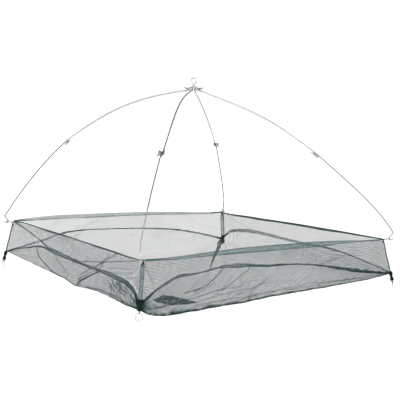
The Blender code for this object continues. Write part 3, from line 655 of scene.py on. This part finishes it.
def net_finish(name, low, high, layered_shade, mesh=MESH, thread=THREAD):
    """Knotless netting: threads every mesh width both ways, wider in more layers, where the colour is also
    darkened towards a painted shade colour.
    """
    made, shader, any_sock = new_finish(name, low, .8, specular=.12)
    wander = any_sock.node("VectorMath", {0: any_sock.noise(45, 2.0, 1), 1: (.0016, .0016, 0.0)},
                           operation="MULTIPLY")
    slack = any_sock.node("VectorMath", {0: any_sock.node("UVMap", uv_map="UVMap"), 1: wander},
                          operation="ADD")
    along = any_sock.node("SeparateXYZ", {0: slack})
    layers = any_sock.node("Attribute", out=2, attribute_name="layers")
    uneven = any_sock.noise(28, 2.0) * .3 + .85
    half = (layers * uneven * (thread / mesh / 2)).math("MINIMUM", .5)

    def threads(value):
        return ((value / mesh).math("FRACT") - .5).math("ABSOLUTE").math("LESS_THAN", half)

    # Painted shade: where layers stack, the colour goes towards the shade colour, standing in for the shade
    # between the layers.
    depth = ((layers - 1.2) * .34).math("MINIMUM", 1.0).math("MAXIMUM", 0.0)
    feed(shader, Base_Color=depth.mix(any_sock.noise(35).mix(low, high), layered_shade),
         Alpha=threads(along).math("MAXIMUM", threads(along.other(1))))
    return made


def tie_finish(low, high):
    """Rough dark cord and drawn netting."""
    made, shader, any_sock = new_finish("black_green_tie", low, .85, specular=.15)
    cloud = any_sock.noise(900)
    bump = any_sock.node("Bump", {"Height": cloud, "Strength": .35, "Distance": .0004})
    feed(shader, Base_Color=cloud.mix(low, high), Normal=bump)
    return made


WIRE = wire_finish()
ZINC = zinc_finish()
# The third colour of each netting is the painted shade of its stacked layers.
NET = net_finish("green_netting", (.108, .134, .142), (.148, .18, .186), (.014, .046, .04))
TAPE = net_finish("green_tape", (.085, .16, .16), (.13, .215, .215), (.03, .085, .075), *TAPE_WEAVE)
SEAM = net_finish("green_seam", (.07, .128, .12), (.1, .17, .16), (.01, .036, .031), *TAPE_WEAVE)
# The bunched netting is the same green netting painted far darker: painted shade inside the crumpled bunch.
SHADED_BUNCH = net_finish("gathered_netting_painted_shade", (.022, .056, .038), (.058, .096, .064), (.004, .02, .012))
TIE = tie_finish((.003, .009, .0075), (.01, .028, .023))


# Frame


def bend(start, start_heading, end, end_heading, share, steps):
    """Cubic Bezier from start to end that leaves and arrives at the headings given."""
    start, end = np.array(start, float), np.array(end, float)
    reach = np.linalg.norm(end - start) * share
    t = np.linspace(0, 1, steps + 1)[:, None]
    first = start + reach * unit(start_heading)
    last = end - reach * unit(end_heading)
    return (1 - t) ** 3 * start + 3 * (1 - t) ** 2 * t * first + 3 * (1 - t) * t * t * last + t**3 * end


def arc(centre, radius, start, turn, steps):
    return centre + radius * unit(start + turn * np.linspace(0, 1, steps + 1)).T


def knee_point(corner):
    lean = CORNERS[corner][2] * FRAME_LEAN
    return np.array([KNEE_REACH + lean, KNEE_HEIGHT + lean * KNEE_HEIGHT / KNEE_REACH])


def curl_point():
    return np.array([RIM_CORNER, 0.0]) + LINK_REACH * unit(LINK_RISE)


def upper_path(corner):
    """The tail over the hub eye, the eye, the arch and the doubled-back knee eye, as reach and height."""
    fall, share = ARCHES[corner]
    eye = arc([HUB_RING_RADIUS, HUB_HEIGHT], ARM_EYE_RADIUS, 90 - fall, 180, 20)
    tip = eye[0] + ARM_EYE_TAIL * unit(ARM_EYE_TAIL_RISE / 2)
    over = bend(tip, 180 + ARM_EYE_TAIL_RISE, eye[0], 180 - fall, .36, 12)
    loop = arc(knee_point(corner), KNEE_EYE_RADIUS, 90 - UPPER_FALL, -KNEE_EYE_TURN, 14)
    arch = bend(eye[-1], -fall, loop[0], -UPPER_FALL, share, 60)
    tail = loop[-1] + np.linspace(.002, UPPER_TAIL, 6)[:, None] * unit(360 - UPPER_FALL - KNEE_EYE_TURN)
    return np.concatenate([over, eye[1:], arch[1:], loop[1:], tail])


def lower_path(corner):
    """Knee eye, run, elbow and open curl, and the index where the run starts and ends."""
    eye = arc(knee_point(corner), KNEE_EYE_RADIUS, 90 - LOWER_FALL + KNEE_EYE_TURN, -KNEE_EYE_TURN, 14)
    tail = eye[0] + np.linspace(LOWER_TAIL, .002, 5)[:, None] * unit(KNEE_EYE_TURN - 180 - LOWER_FALL)
    hook = arc(curl_point(), CURL_RADIUS, CURL_START, CURL_TURN, 22)
    tip = hook[-1] + np.linspace(.001, .005, 3)[:, None] * unit(CURL_START + 90 + CURL_TURN)
    centre = hook[0] - CURL_SHANK * unit(CURL_START + 90) + ELBOW_RADIUS * unit(CURL_START)
    elbow = arc(centre, ELBOW_RADIUS, ELBOW_START, CURL_START - 180 - ELBOW_START, 10)
    run = bend(eye[-1], -LOWER_FALL, elbow[0], ELBOW_START - 90, .3, 60)
    first = len(tail) + len(eye)
    return np.concatenate([tail, eye, run[1:], elbow[1:], hook, tip]), first, first + len(run) - 1


def make_hub():
    """The ring that the arms turn on and two bent wires, square to each other, one with the lifting eye."""
    radius, gap = HUB_WIRE / 2, HUB_WIRE + GAP
    ring = hoop("hub_ring_wire", HUB_RING_RADIUS, 64, shift(0, 0, HUB_Z), radius, WIRE, 14)
    hook = arc([-HUB_RING_RADIUS, HUB_Z], ARM_EYE_RADIUS, 90 + HUB_LEG_ANGLE + HUB_HOOK_TURN,
               -HUB_HOOK_TURN, 22)
    loop = arc([0, EYE_CENTRE_Z], EYE_RADIUS, -EYE_JOIN_ANGLE, 180 + 2 * EYE_JOIN_ANGLE, 40)
    leg = bend(hook[-1], HUB_LEG_ANGLE, loop[0], 90 - EYE_JOIN_ANGLE, HUB_BEND_SHARE, 24)
    half = [(x, 0.0, z) for x, z in hook]
    half += [(x, gap / 2 * smooth(2 * k / (len(leg) - 1)), z) for k, (x, z) in enumerate(leg) if k]
    eye = [(x, gap / 2 * (1 - 2 * k / (len(loop) - 1)), z) for k, (x, z) in enumerate(loop)]
    other = [(-x, -y, z) for x, y, z in half[::-1]]
    lifting = tube("lifting_eye_wire", half + eye[1:-1] + other, radius, WIRE)
    k = int(np.argmax(leg[:, 0] > 0))
    along = leg[k + 1] - leg[k - 1]
    top = leg[k, 1] - gap / math.cos(math.atan2(along[1], along[0]))
    side = [*hook, *bend(hook[-1], HUB_LEG_ANGLE, [0, top], 0.0, HUB_BEND_SHARE, 20)[1:]]
    side = [(0, y, z) for y, z in side] + [(0, -y, z) for y, z in side[-2::-1]]
    cross = tube("hub_cross_wire", side, radius, WIRE)
    for piece, node in ((ring, "hub_ring"), (lifting, "lifting_eye"), (cross, "hub_cross")):
        enter(piece, "hub", node)


def wing(sign):
    """One wing of a nut: a hollowed plate with a thick round rim, swept outwards and up from the body."""
    s, t = around(29, 32)
    tall = np.interp(s, [0, .12, .3, .5, .7, .84, .93, .98, 1],
                     [.0022, .0028, .0038, .0045, .0045, .0037, .0025, .0012, .0001])
    middle = np.interp(s, [0, .3, .6, 1], [.003, .0044, .006, .0068])
    thick = np.interp(s, [0, .3, .6, .85, .97, 1], [.002, .0013, .0011, .0014, .0011, .0001])
    dish = 1 - .3 * exp(-((s - .6) / .22) ** 2) * cos(t) ** 2
    points = stacked(sign * (.0032 + .0108 * s), thick * np.sign(sin(t)) * np.abs(sin(t)) ** .7 * dish,
                     middle + tall * cos(t))
    return grid("wing", points[:, ::sign], ZINC, close_v=True)


def make_knee(corner):
    """Threaded bolt, washer and wing nut, made on the bolt's own axis and carried to the knee."""
    azimuth, side, _ = CORNERS[corner]
    head = -(ARM_WIRE / 2 + GAP)
    low = KNEE_OFFSET + ARM_WIRE / 2 + GAP
    top = low + WASHER_THICKNESS
    nut = top + GAP
    high = nut + NUT_HEIGHT
    end = high + BOLT_TAIL
    shank, cap, edge, wide = BOLT_DIAMETER / 2, HEAD_DIAMETER / 2, WASHER_DIAMETER / 2, NUT_DIAMETER / 2
    bore = shank + GAP
    thread = np.arange(low - .001, end - .0007, .0004)
    bolt = [(1e-5, head - .0032), (cap * .35, head - .00317), (cap * .68, head - .0026),
            (cap * .92, head - .0014), (cap, head - .0005), (cap * .98, head), (shank + .0001, head + .00002),
            (shank, head + .0001), *((shank - .00004 - .00022 * (k % 2), z) for k, z in enumerate(thread)),
            (shank * .82, end - .0002), (shank * .66, end), (1e-5, end)]
    washer = [(bore, low), (edge - .0001, low), (edge, low + .0003), (edge, top - .0003), (edge - .0001, top),
              (bore, top), (bore, low)]
    body = [(bore, nut), (wide - .0001, nut), (wide, nut + .0005), (wide * .95, nut + .0022),
            (wide * .84, high - .0006), (wide * .78, high), (bore, high), (bore, nut)]
    knee = knee_point(corner)
    along_bolt = upright(azimuth, knee[0], RIM_Z + knee[1]) @ rotation("X", -90 * side)
    bolt = turned(f"knee_bolt_plated_{corner}", bolt, ZINC)
    washer = turned(f"knee_washer_plated_{corner}", washer, ZINC)
    wings = [move_mesh(wing(sign), shift(0, 0, nut)) for sign in (1, -1)]
    wing_nut = joined(f"wing_nut_plated_{corner}", [turned("nut_body", body, ZINC), *wings])
    move_mesh(wing_nut, rotation("Z", NUT_REST_TURN * side))
    for piece, rider, node in ((bolt, "upper_arm", "knee_bolt"), (washer, "upper_arm", "knee_washer"),
                               (wing_nut, "wing_nut", "wing_nut")):
        enter(move_mesh(piece, along_bolt), f"{rider}_{corner}", f"{node}_{corner}")


def make_arm(corner):
    """Upper arm, lower arm, and the small ring between its hook and the net."""
    azimuth, side, _ = CORNERS[corner]
    # Each arm's painted shine: its zinc is painted darker or brighter to stand in for reflections and shade.
    upper_painted_shine, lower_painted_shine = ARM_PAINTED_SHINES[corner]
    path = upper_path(corner)
    # Painted shade where the upper arm wraps the hub ring: its shine fades close to the ring.
    painted_shine = upper_painted_shine * smooth(.15 + np.abs(path[:, 0] - HUB_RING_RADIUS) / .022)
    path = on_arm(azimuth, path, 0.0)
    upper = tube(f"upper_arm_wire_{corner}", path, ARM_WIRE / 2, WIRE, layers=painted_shine[:, None])
    path, first, last = lower_path(corner)
    along = (np.arange(len(path)) - first) / (last - first)
    across = KNEE_OFFSET * side * (1 - smooth((along - .88) / .12))
    painted_shine = np.full(len(path), lower_painted_shine)
    # Painted highlight on the low end of the front left lower arm.
    if corner == "front_left":
        painted_shine += (HIGHLIGHT_SHINE - painted_shine) * smooth((HIGHLIGHT_HEIGHT - path[:, 1]) / .03)
    path = on_arm(azimuth, path, across)
    lower = tube(f"lower_arm_wire_{corner}", path, ARM_WIRE / 2, WIRE, layers=painted_shine[:, None])
    middle = curl_point() - (CURL_TO_LINK + LINK_RADIUS) * unit(LINK_RISE)
    leant = upright(azimuth, middle[0], RIM_Z + middle[1]) @ rotation("Y", -LINK_RISE)
    # The link ring's zinc is painted darker, at shine .4: painted shade.
    link = hoop(f"link_ring_wire_{corner}", LINK_RADIUS, 48, leant, LINK_WIRE / 2, WIRE, 12, .4)
    for piece, rider, node in ((upper, "upper_arm", "upper_arm"), (lower, "lower_arm", "lower_arm"),
                               (link, "link", "link_ring")):
        enter(piece, f"{rider}_{corner}", f"{node}_{corner}")


# Corners of the net


def corner_band(corner):
    """The corner tape: a flattened tube of doubled netting, tied narrow at the top, with slight puckers."""
    t, theta = around(60, 28)
    z = -(.0042 + t * (TIE_TOP_DROP + .004 - .0042)) * math.sqrt(1 + SPLAY_PER_DROP**2)
    widest, middle, more = BAND_SHAPES[corner]
    half = (.0018 + (widest - .0018) * smooth(t / .13) + .0004 * sin(31 * t)
            - .0012 * smooth((t - .85) / .15))
    thick = .0013 + .0006 * smooth(t / .1)
    pucker = 1 + .1 * sin(9 * theta) * sin(19 * t)
    x = thick * sin(theta) * pucker + .0006 * sin(11 * t)
    band = grid("band", stacked(x, half * cos(theta) * pucker, z), TAPE, close_v=True,
                layers=middle + more * cos(theta) ** 4 + 3.0 * exp(-(t / .08) ** 2))
    move_mesh(band, rotation("Y", -SPLAY_ANGLE))
    radius = LINK_WIRE / 2 + GAP + CORD_RADIUS
    parts = [band, hoop("loop", radius, 28, rotation("X", 90), CORD_RADIUS, TIE, 10)]
    for k in range(3):
        parts.append(hoop("wrap", .0028, 24, shift(.0002, 0, -.0052 - .0017 * k), .0009, TIE, 8))
    made = move_mesh(joined(f"corner_tape_{corner}", parts), upright(CORNERS[corner][0], RIM_CORNER, RIM_Z))
    enter(made, f"net_corner_{corner}", f"corner_seam_{corner}")


def corner_knot(corner):
    """The lower corner: pleated netting bound into a neck with cord, with a loop and two ends."""
    t, theta = around(44, 60)
    profile = [0, .008, .12, .0115, .26, .0128, .42, .0108, .6, .0058, .7, .005, .84, .0066, .95, .0054,
               1, .0012]
    pleat = 1 + (.11 * sin(13 * theta) + .05 * sin(7 * theta + 1)) * (1 - .5 * t)
    size = KNOT_SIZES[corner]
    r = through(profile, t) * pleat * (size + (1 - size) * smooth((t - .5) * 4))
    z = .0028 - t * (TIE_LENGTH + .003) + .0012 * pleat
    knot = grid("knot", stacked(r * cos(theta), r * sin(theta), z)[::-1], TIE, close_v=True)
    a = np.linspace(0, 2 * pi * 4.2, 120)
    r = .0052 + .0004 * sin(a * .37)
    winding = stacked(r * cos(a), r * sin(a), -.019 - .0021 * a / 2 / pi)
    under = shift(0, 0, -TIE_LENGTH - TIE_LOOP_RADIUS) @ rotation("X", 90)
    parts = [knot, tube("binding", winding, CORD_RADIUS, TIE, 8),
             hoop("loop", TIE_LOOP_RADIUS, 24, under, CORD_RADIUS, TIE, 10)]
    s = np.linspace(0, 1, 12)
    for heading, length in ((80, .011), (-100, .008)):
        out = .0056 + .0045 * s + .001 * sin(3 * s)
        x, y = unit(heading)
        path = stacked(out * x, out * y, -.022 - length * s**1.4)
        parts.append(tube("end", path, .001 - .0004 * s, TIE, 8))
    down = upright(CORNERS[corner][0], RIM_CORNER + TIE_TOP_DROP * SPLAY_PER_DROP, RIM_Z - TIE_TOP_DROP)
    made = move_mesh(joined(f"corner_knot_{corner}", parts), down @ rotation("Y", -SPLAY_ANGLE))
    enter(made, f"net_corner_{corner}", f"corner_tie_{corner}")


def corner_ring(corner):
    """The loose wire ring that hangs in the loop of the tie."""
    fall, out = (TIE_LENGTH + TIE_LOOP_RADIUS) * unit(SPLAY_ANGLE)
    reach = RIM_CORNER + TIE_TOP_DROP * SPLAY_PER_DROP + out
    height = RIM_Z - TIE_TOP_DROP - fall - RING_RADIUS
    across = upright(CORNERS[corner][0], reach, height) @ rotation("Y", 90)
    # The corner ring's zinc is painted darker, at shine .35: painted shade.
    made = hoop(f"corner_ring_wire_{corner}", RING_RADIUS, 56, across, RING_WIRE / 2, WIRE, 12, .35)
    enter(made, f"corner_ring_{corner}", f"corner_ring_{corner}")


# Net bag. Points of a side are (out from the centre, along the side, height above the rim).


def wall_point(u, drop):
    """A wall of the bag: splayed at the corners, drawn in at the middle, ending inside the corner tapes."""
    share = drop / CORNER_DROP
    splay = CORNER_SPLAY / math.sqrt(2) * share
    out = NET_SIDE / 2 + splay * u * u - WALL_BOW * share * (1 - u * u)
    return np.stack([out, u * (NET_SIDE / 2 - .0016 + splay), -drop], -1)


def to_row(side, points):
    return placed(points, upright(SIDES[side], 0.0, RIM_Z))


def corner_gather(side, u, distance, strength):
    """More layers near the lower corners, where the netting is drawn into the ties."""
    start, end = (GATHERS[corner] for corner in SIDE_ENDS[side])
    share, size = (np.where(u < 0, start[k], end[k]) for k in (0, 1))
    return strength * share * exp(-((distance / size) ** 2))


def seam_line(side, u):
    """Drop of the seam, with the small puckers that its stitching makes."""
    return through(SEAMS[side], u) + .0006 * (1 - u**8) * ripple(u * .5, .05, SIDES[side])


def bottom_line(side, u):
    """Drop of the bottom fold, slightly uneven."""
    return through(BOTTOMS[side], u) + (1 - u**8) * (.001 * ripple(u * .5, .17, 1 + SIDES[side])
                                                     + .0008 * ripple(u * .5, .062, 5.0))


def gather_with_fold(piece, side):
    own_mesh(piece)


def netting(part, side, points, local, layers):
    """A panel of netting, riding on its body in place of its node, with a mesh of its own."""
    node = f"{part}_net_{side}"
    uv = local @ rotation("Z", -NET_BIAS.get(node, NET_BIAS[side]))[:2, :2]
    piece = grid(f"{part}_netting_{side}", to_row(side, points), NET, uv, layers)
    enter(piece, f"floor_{side}" if part == "floor" else f"side_{side}", node)
    across, down = points[1:, :-1] - points[:-1, :-1], points[:-1, 1:] - points[:-1, :-1]
    gather_with_fold(piece, side)


def hanging(part, side, top, bottom, more=0.0):
    """Netting of a wall or skirt between two lines of drops, with a slight billow and its folds."""
    all_folds, all_creases, all_layers, rows, stiffness, billow, scale, seed, gather = PANELS[part]
    u, v = crossed(ALONG, np.linspace(0, 1, rows))
    drop = top[:, None] + (bottom - top)[:, None] * v
    folds = [(*fold[:2], *(np.reshape(fold[2:], (-1, 2)) * [NET_SIDE / 2, 1])) for fold in all_folds[side]]
    for k, (count, *row) in enumerate(all_creases[side]):
        folds += creases(11 * len(all_folds[side]) + 7 * count + k, count, *row)
    layers, height = fold_field(u * NET_SIDE / 2, drop, folds)
    points = wall_point(u, drop)
    free = sin(pi * v) * (1 - u**stiffness)
    points[..., 0] += free * (billow * ripple(u * .5, scale, seed + SIDES[side], drop) + height)
    from_tie = np.hypot((1 - np.abs(u)) * NET_SIDE / 2, drop - .137)
    layers += through(all_layers[side], u) + corner_gather(side, u, from_tie, gather) + more
    netting(part, side, points, np.stack([points[..., 1], drop], -1), layers)


def make_hem(side):
    """Folded tape round a rim cord: a thin loop of netting, widest between the corners."""
    lean, thick = HEMS[side]
    u, s = crossed(np.linspace(-1, 1, 240), np.linspace(0, 1, 26, endpoint=False))
    x = u * (NET_SIDE / 2 - .003)
    share = smooth((1 - np.abs(u)) / .16)
    wide = through(HEM_WIDTHS[side], u) + .0008 * ripple(x, .21, lean) * share
    angle = np.radians(lean + 9 * ripple(x, .37, 1.0))
    top = through(HEM_TOPS[side], u) + .0004 * ripple(x, .3, 2.0) * share
    across = .5 - .5 * cos(2 * pi * s)
    bulge = sin(2 * pi * s) * (.0013 - .0006 * across)
    down = across * wide
    out = bulge * cos(angle) - down * sin(angle)
    height = top - down * cos(angle) - bulge * sin(angle)
    edge = exp(-(across / .1) ** 2) + exp(-((1 - across) / .13) ** 2)
    layers = (1.15 + 1.1 * edge) * thick + 2.2 * (1 - share)
    points = to_row(side, stacked(NET_SIDE / 2 + out, x, height))
    uv = stacked(x, np.abs(s - .5) * 2 * wide)
    piece = grid(f"rim_tape_{side}", points, TAPE, uv, layers, close_v=True)
    enter(piece, f"side_{side}", f"top_hem_{side}")
    gather_with_fold(piece, side)


def make_seam(side):
    """The seam tape: a flat ruffled band folded over a cord, which turns over as it runs along the arch."""
    u, sides = np.linspace(-.985, .985, 560), 28
    ruffle = through(SEAM_RUFFLES[side], u)
    path = wall_point(u, seam_line(side, u) + .0012 * ruffle * ripple(u, .07, 9.0))
    path[:, 0] += .0008 * ripple(u, .11, 3.0)
    half = .5 * through(SEAM_WIDTHS[side], u) * (1 + .12 * ripple(u, .11, 5.0)
                                                  + (.06 + .16 * ruffle) * ripple(u, .061, 2.0))
    twist = through(SEAM_TURNS[side], u) + .18 * ripple(u, .12, 4.0) + .4 * ruffle * ripple(u, .09, 1.0)
    near_end = 1 - smooth((1 - np.abs(u)) / .1)
    middle = through(SEAM_MIDDLES[side], u) + .3 * ripple(u, .06, 6.0) + 2.5 * near_end
    layers = middle[:, None] + through(SEAM_EDGES[side], u)[:, None] * cos(circle(sides)) ** 4
    piece = tube(f"arched_seam_{side}", to_row(side, path), half, SEAM, sides, False, .2, twist, layers)
    enter(piece, f"side_{side}", f"lower_seam_{side}")
    gather_with_fold(piece, side)


def make_wall(side):
    """Netting from the hem down to the arched seam. A rolled hem holds it near its top edge."""
    rolled = HEMS[side][0] > 45
    inset = .002 if rolled else through(HEM_WIDTHS[side], ALONG) - .004
    hanging("wall", side, inset - through(HEM_TOPS[side], ALONG), seam_line(side, ALONG))


def make_skirt(side):
    """Netting from the seam to the bottom fold, where it is rolled up."""
    top, bottom = seam_line(side, ALONG), bottom_line(side, ALONG)
    lift = np.outer(bottom - top, 1 - np.linspace(0, 1, PANELS["skirt"][3]))
    thick = through(BOTTOM_WIDTHS[side], ALONG) * (1 + .35 * ripple(ALONG * .5, .075, 8.0))
    rolls = through(BOTTOM_ROLLS[side], ALONG) * (1 + .65 * ripple(ALONG * .5, .03, 6.0))
    hanging("skirt", side, top, bottom, rolls[:, None] * exp(-((lift / thick[:, None]) ** 2)))


def make_floor(side):
    """A quarter of the slack floor, from the bottom fold to the middle, with its folds."""
    u, q = crossed(np.linspace(-1, 1, 381), np.linspace(1, .004, 200))
    edge = wall_point(u, bottom_line(side, u))
    out, along = edge[..., 0] * q, edge[..., 1] * q
    row = placed(stacked(out, along, 0.0), rotation("Z", SIDES[side]))
    x, y = row[..., 0], row[..., 1]
    fine = [line for k, crease in enumerate(FLOOR_CREASES) for line in creases(40 + k, *crease)]
    layers, height = fold_field(x, y, FLOOR_FOLDS + fine)
    inner = 1 - q**6
    sag = .007 * exp(-((x + .3) ** 2 + (y + .36) ** 2) / .035) + .002 * ripple(x, .34, 1.0, y)
    drop = FLOOR_CENTRE_DROP - (edge[..., 2] + FLOOR_CENTRE_DROP) * q**2 + inner * (sag - height * .8)
    # Painted shadow along the floor's edge under the bottom fold, given as more layers, which also darken the
    # colour.
    near, far = FLOOR_EDGE_SHADOWS[side]
    layers += 1.26 + near * exp(-((1 - q) / .012) ** 2) + far * exp(-((1 - q) / .12) ** 2)
    layers += corner_gather(side, u, np.hypot(FLOOR_CORNER - np.abs(x), FLOOR_CORNER - np.abs(y)), 4.0)
    netting("floor", side, np.stack([out, along, -drop], -1), np.stack([along, out], -1), layers)


def spare(name, side, points, finish, uv, layers):
    """A closed roll of spare netting that lies on the floor of the bag."""
    piece = grid(name, points, finish, uv, layers, close_v=True)
    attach(piece, f"floor_{side}")
    gather_with_fold(piece, side)


def make_bunch():
    """Netting bunched up by the front left tie: a crumpled roll, tall at one end and thin at the other."""
    s, theta = around(90, 56)
    tall = through([0, .001, .08, .0042, .18, .0092, .3, .0118, .45, .0122, .6, .01, .78, .0064, .92, .0026,
                    1, .0008], s)
    crease = (1 + .15 * sin(5 * theta + 9 * s) + .09 * sin(9 * theta - 13 * s)
              + .05 * sin(17 * theta + 31 * s))
    across = (.004 + .016 * sin(pi * s**.8)) * cos(theta) * crease
    x = -.372 + .093 * s + .742 * across
    y = -.352 - .103 * s + .006 * sin(5 * s) + .67 * across
    z = RIM_Z - .1632 + .016 * (s - .42) ** 2 + tall * (.45 + sin(theta) * crease)
    ribs = np.clip(sin(3 * theta + 19 * s + 2 * sin(9 * s)), 0, 1) ** 2
    # Ribs and thin ends take more layers: more threads, and darker by the netting's painted shade.
    layers = 1.6 + 3.4 * ribs + 1.2 * np.clip(sin(40 * s + 3 * theta), 0, 1) ** 4 + 4 * exp(-tall / .002)
    spare("netting_bunch", "front", stacked(x, y, z), SHADED_BUNCH, stacked(.14 * s, theta * .02), layers)


def make_strip():
    """Netting drawn out of the back right tie: a flat fold, wide at the tie and dark along its edges."""
    s, theta = around(160, 28)
    x = through([0, .5, .25, .44, .5, .37, .75, .25, 1, .11], s)
    y = through([0, .5, .25, .43, .5, .345, .75, .205, 1, .03], s)
    drop = FLOOR_CENTRE_DROP + (.128 - FLOOR_CENTRE_DROP) * (np.maximum(x, y) / FLOOR_CORNER) ** 2 - .0035
    wide = .0075 + .0065 * smooth(s / .06) - .0125 * s
    x = x + .8 * wide * cos(theta)
    y = y - .6 * wide * cos(theta)
    z = RIM_Z - drop + .0022 * sin(theta) + .004 * cos(theta) * (1 - s)
    layers = 1.0 + 3.6 * cos(theta) ** 6 + 4 * exp(-s / .05) + 1.5 * s
    spare("netting_strip", "back", stacked(x, y, z), SEAM, stacked(s * .6, theta * .004), layers)


def make_stage():
    """A wide white floor well below the net, surroundings white below and near the horizon and straight
    overhead but dark between, and one soft key light.
    """
    mesh = bpy.data.meshes.new("floor")
    reach, depth = 60, -1.45
    mesh.from_pydata([(x * reach, y * reach, depth) for x, y in ((-1, -1), (1, -1), (1, 1), (-1, 1))], [],
                     [(0, 1, 2, 3)])
    made, shader, _ = new_finish("white_floor", (.93, .93, .93), .9)
    shader.inputs["Emission Color"].default_value = (1, 1, 1, 1)
    shader.inputs["Emission Strength"].default_value = 1.0
    mesh.materials.append(made)
    linked("floor", mesh)
    world = bpy.data.worlds.new("white")
    world.use_nodes = True
    height = Sock(world.node_tree, None).node("TexCoord")
    height = height.node("SeparateXYZ", {0: height}, out=2)

    def above(low, high):
        return height.node("MapRange", {0: height, 1: low, 2: high}, interpolation_type="SMOOTHSTEP")

    sky = (above(.15, .42) * (1.0 - above(.9, .97))).mix((1.02, 1.02, 1.02), (.03, .03, .032))
    world.node_tree.links.new(sky.socket, world.node_tree.nodes["Background"].inputs["Color"])
    bpy.context.scene.world = world
    light = bpy.data.lights.new("key", "AREA")
    light.energy, light.size = 55, 3.5
    key = linked("key", light)
    key.location = (-2.6, -2.4, 1.8)
    key.rotation_euler = (Vector((0, 0, -.5)) - key.location).to_track_quat("-Z", "Y").to_euler()
    bpy.context.scene.view_settings.view_transform = "Standard"


def make_camera():
    """The photograph's viewpoint: a long lens just above the rim, turned slightly clockwise."""
    azimuth, elevation, roll = (math.radians(degrees) for degrees in (-34.1325, 5.4953, 1.1897))
    target, distance = Vector((.023, -.023, RIM_Z + .1175)), 3.3458
    focal_pixels, photo_width, sensor = 897.789, 400, 36
    back = Vector((math.sin(azimuth) * math.cos(elevation), -math.cos(azimuth) * math.cos(elevation),
                   math.sin(elevation)))
    data = bpy.data.cameras.new("camera")
    data.sensor_width = sensor
    data.lens = focal_pixels / photo_width * sensor
    data.clip_start, data.clip_end = .05, 300
    camera = linked("camera", data)
    camera.location = target + back * distance
    camera.rotation_mode = "QUATERNION"
    level = (-back).to_track_quat("-Z", "Y").to_matrix()
    camera.rotation_quaternion = (level @ Matrix.Rotation(roll, 3, "Z")).to_quaternion()
    bpy.context.scene.camera = camera


make_hub()
for corner_name in CORNERS:
    for make in (make_arm, make_knee, corner_band, corner_knot, corner_ring):
        make(corner_name)
for side_name in SIDES:
    for make in (make_hem, make_seam, make_wall, make_skirt, make_floor):
        make(side_name)
make_bunch()
make_strip()
make_stage()
make_camera()
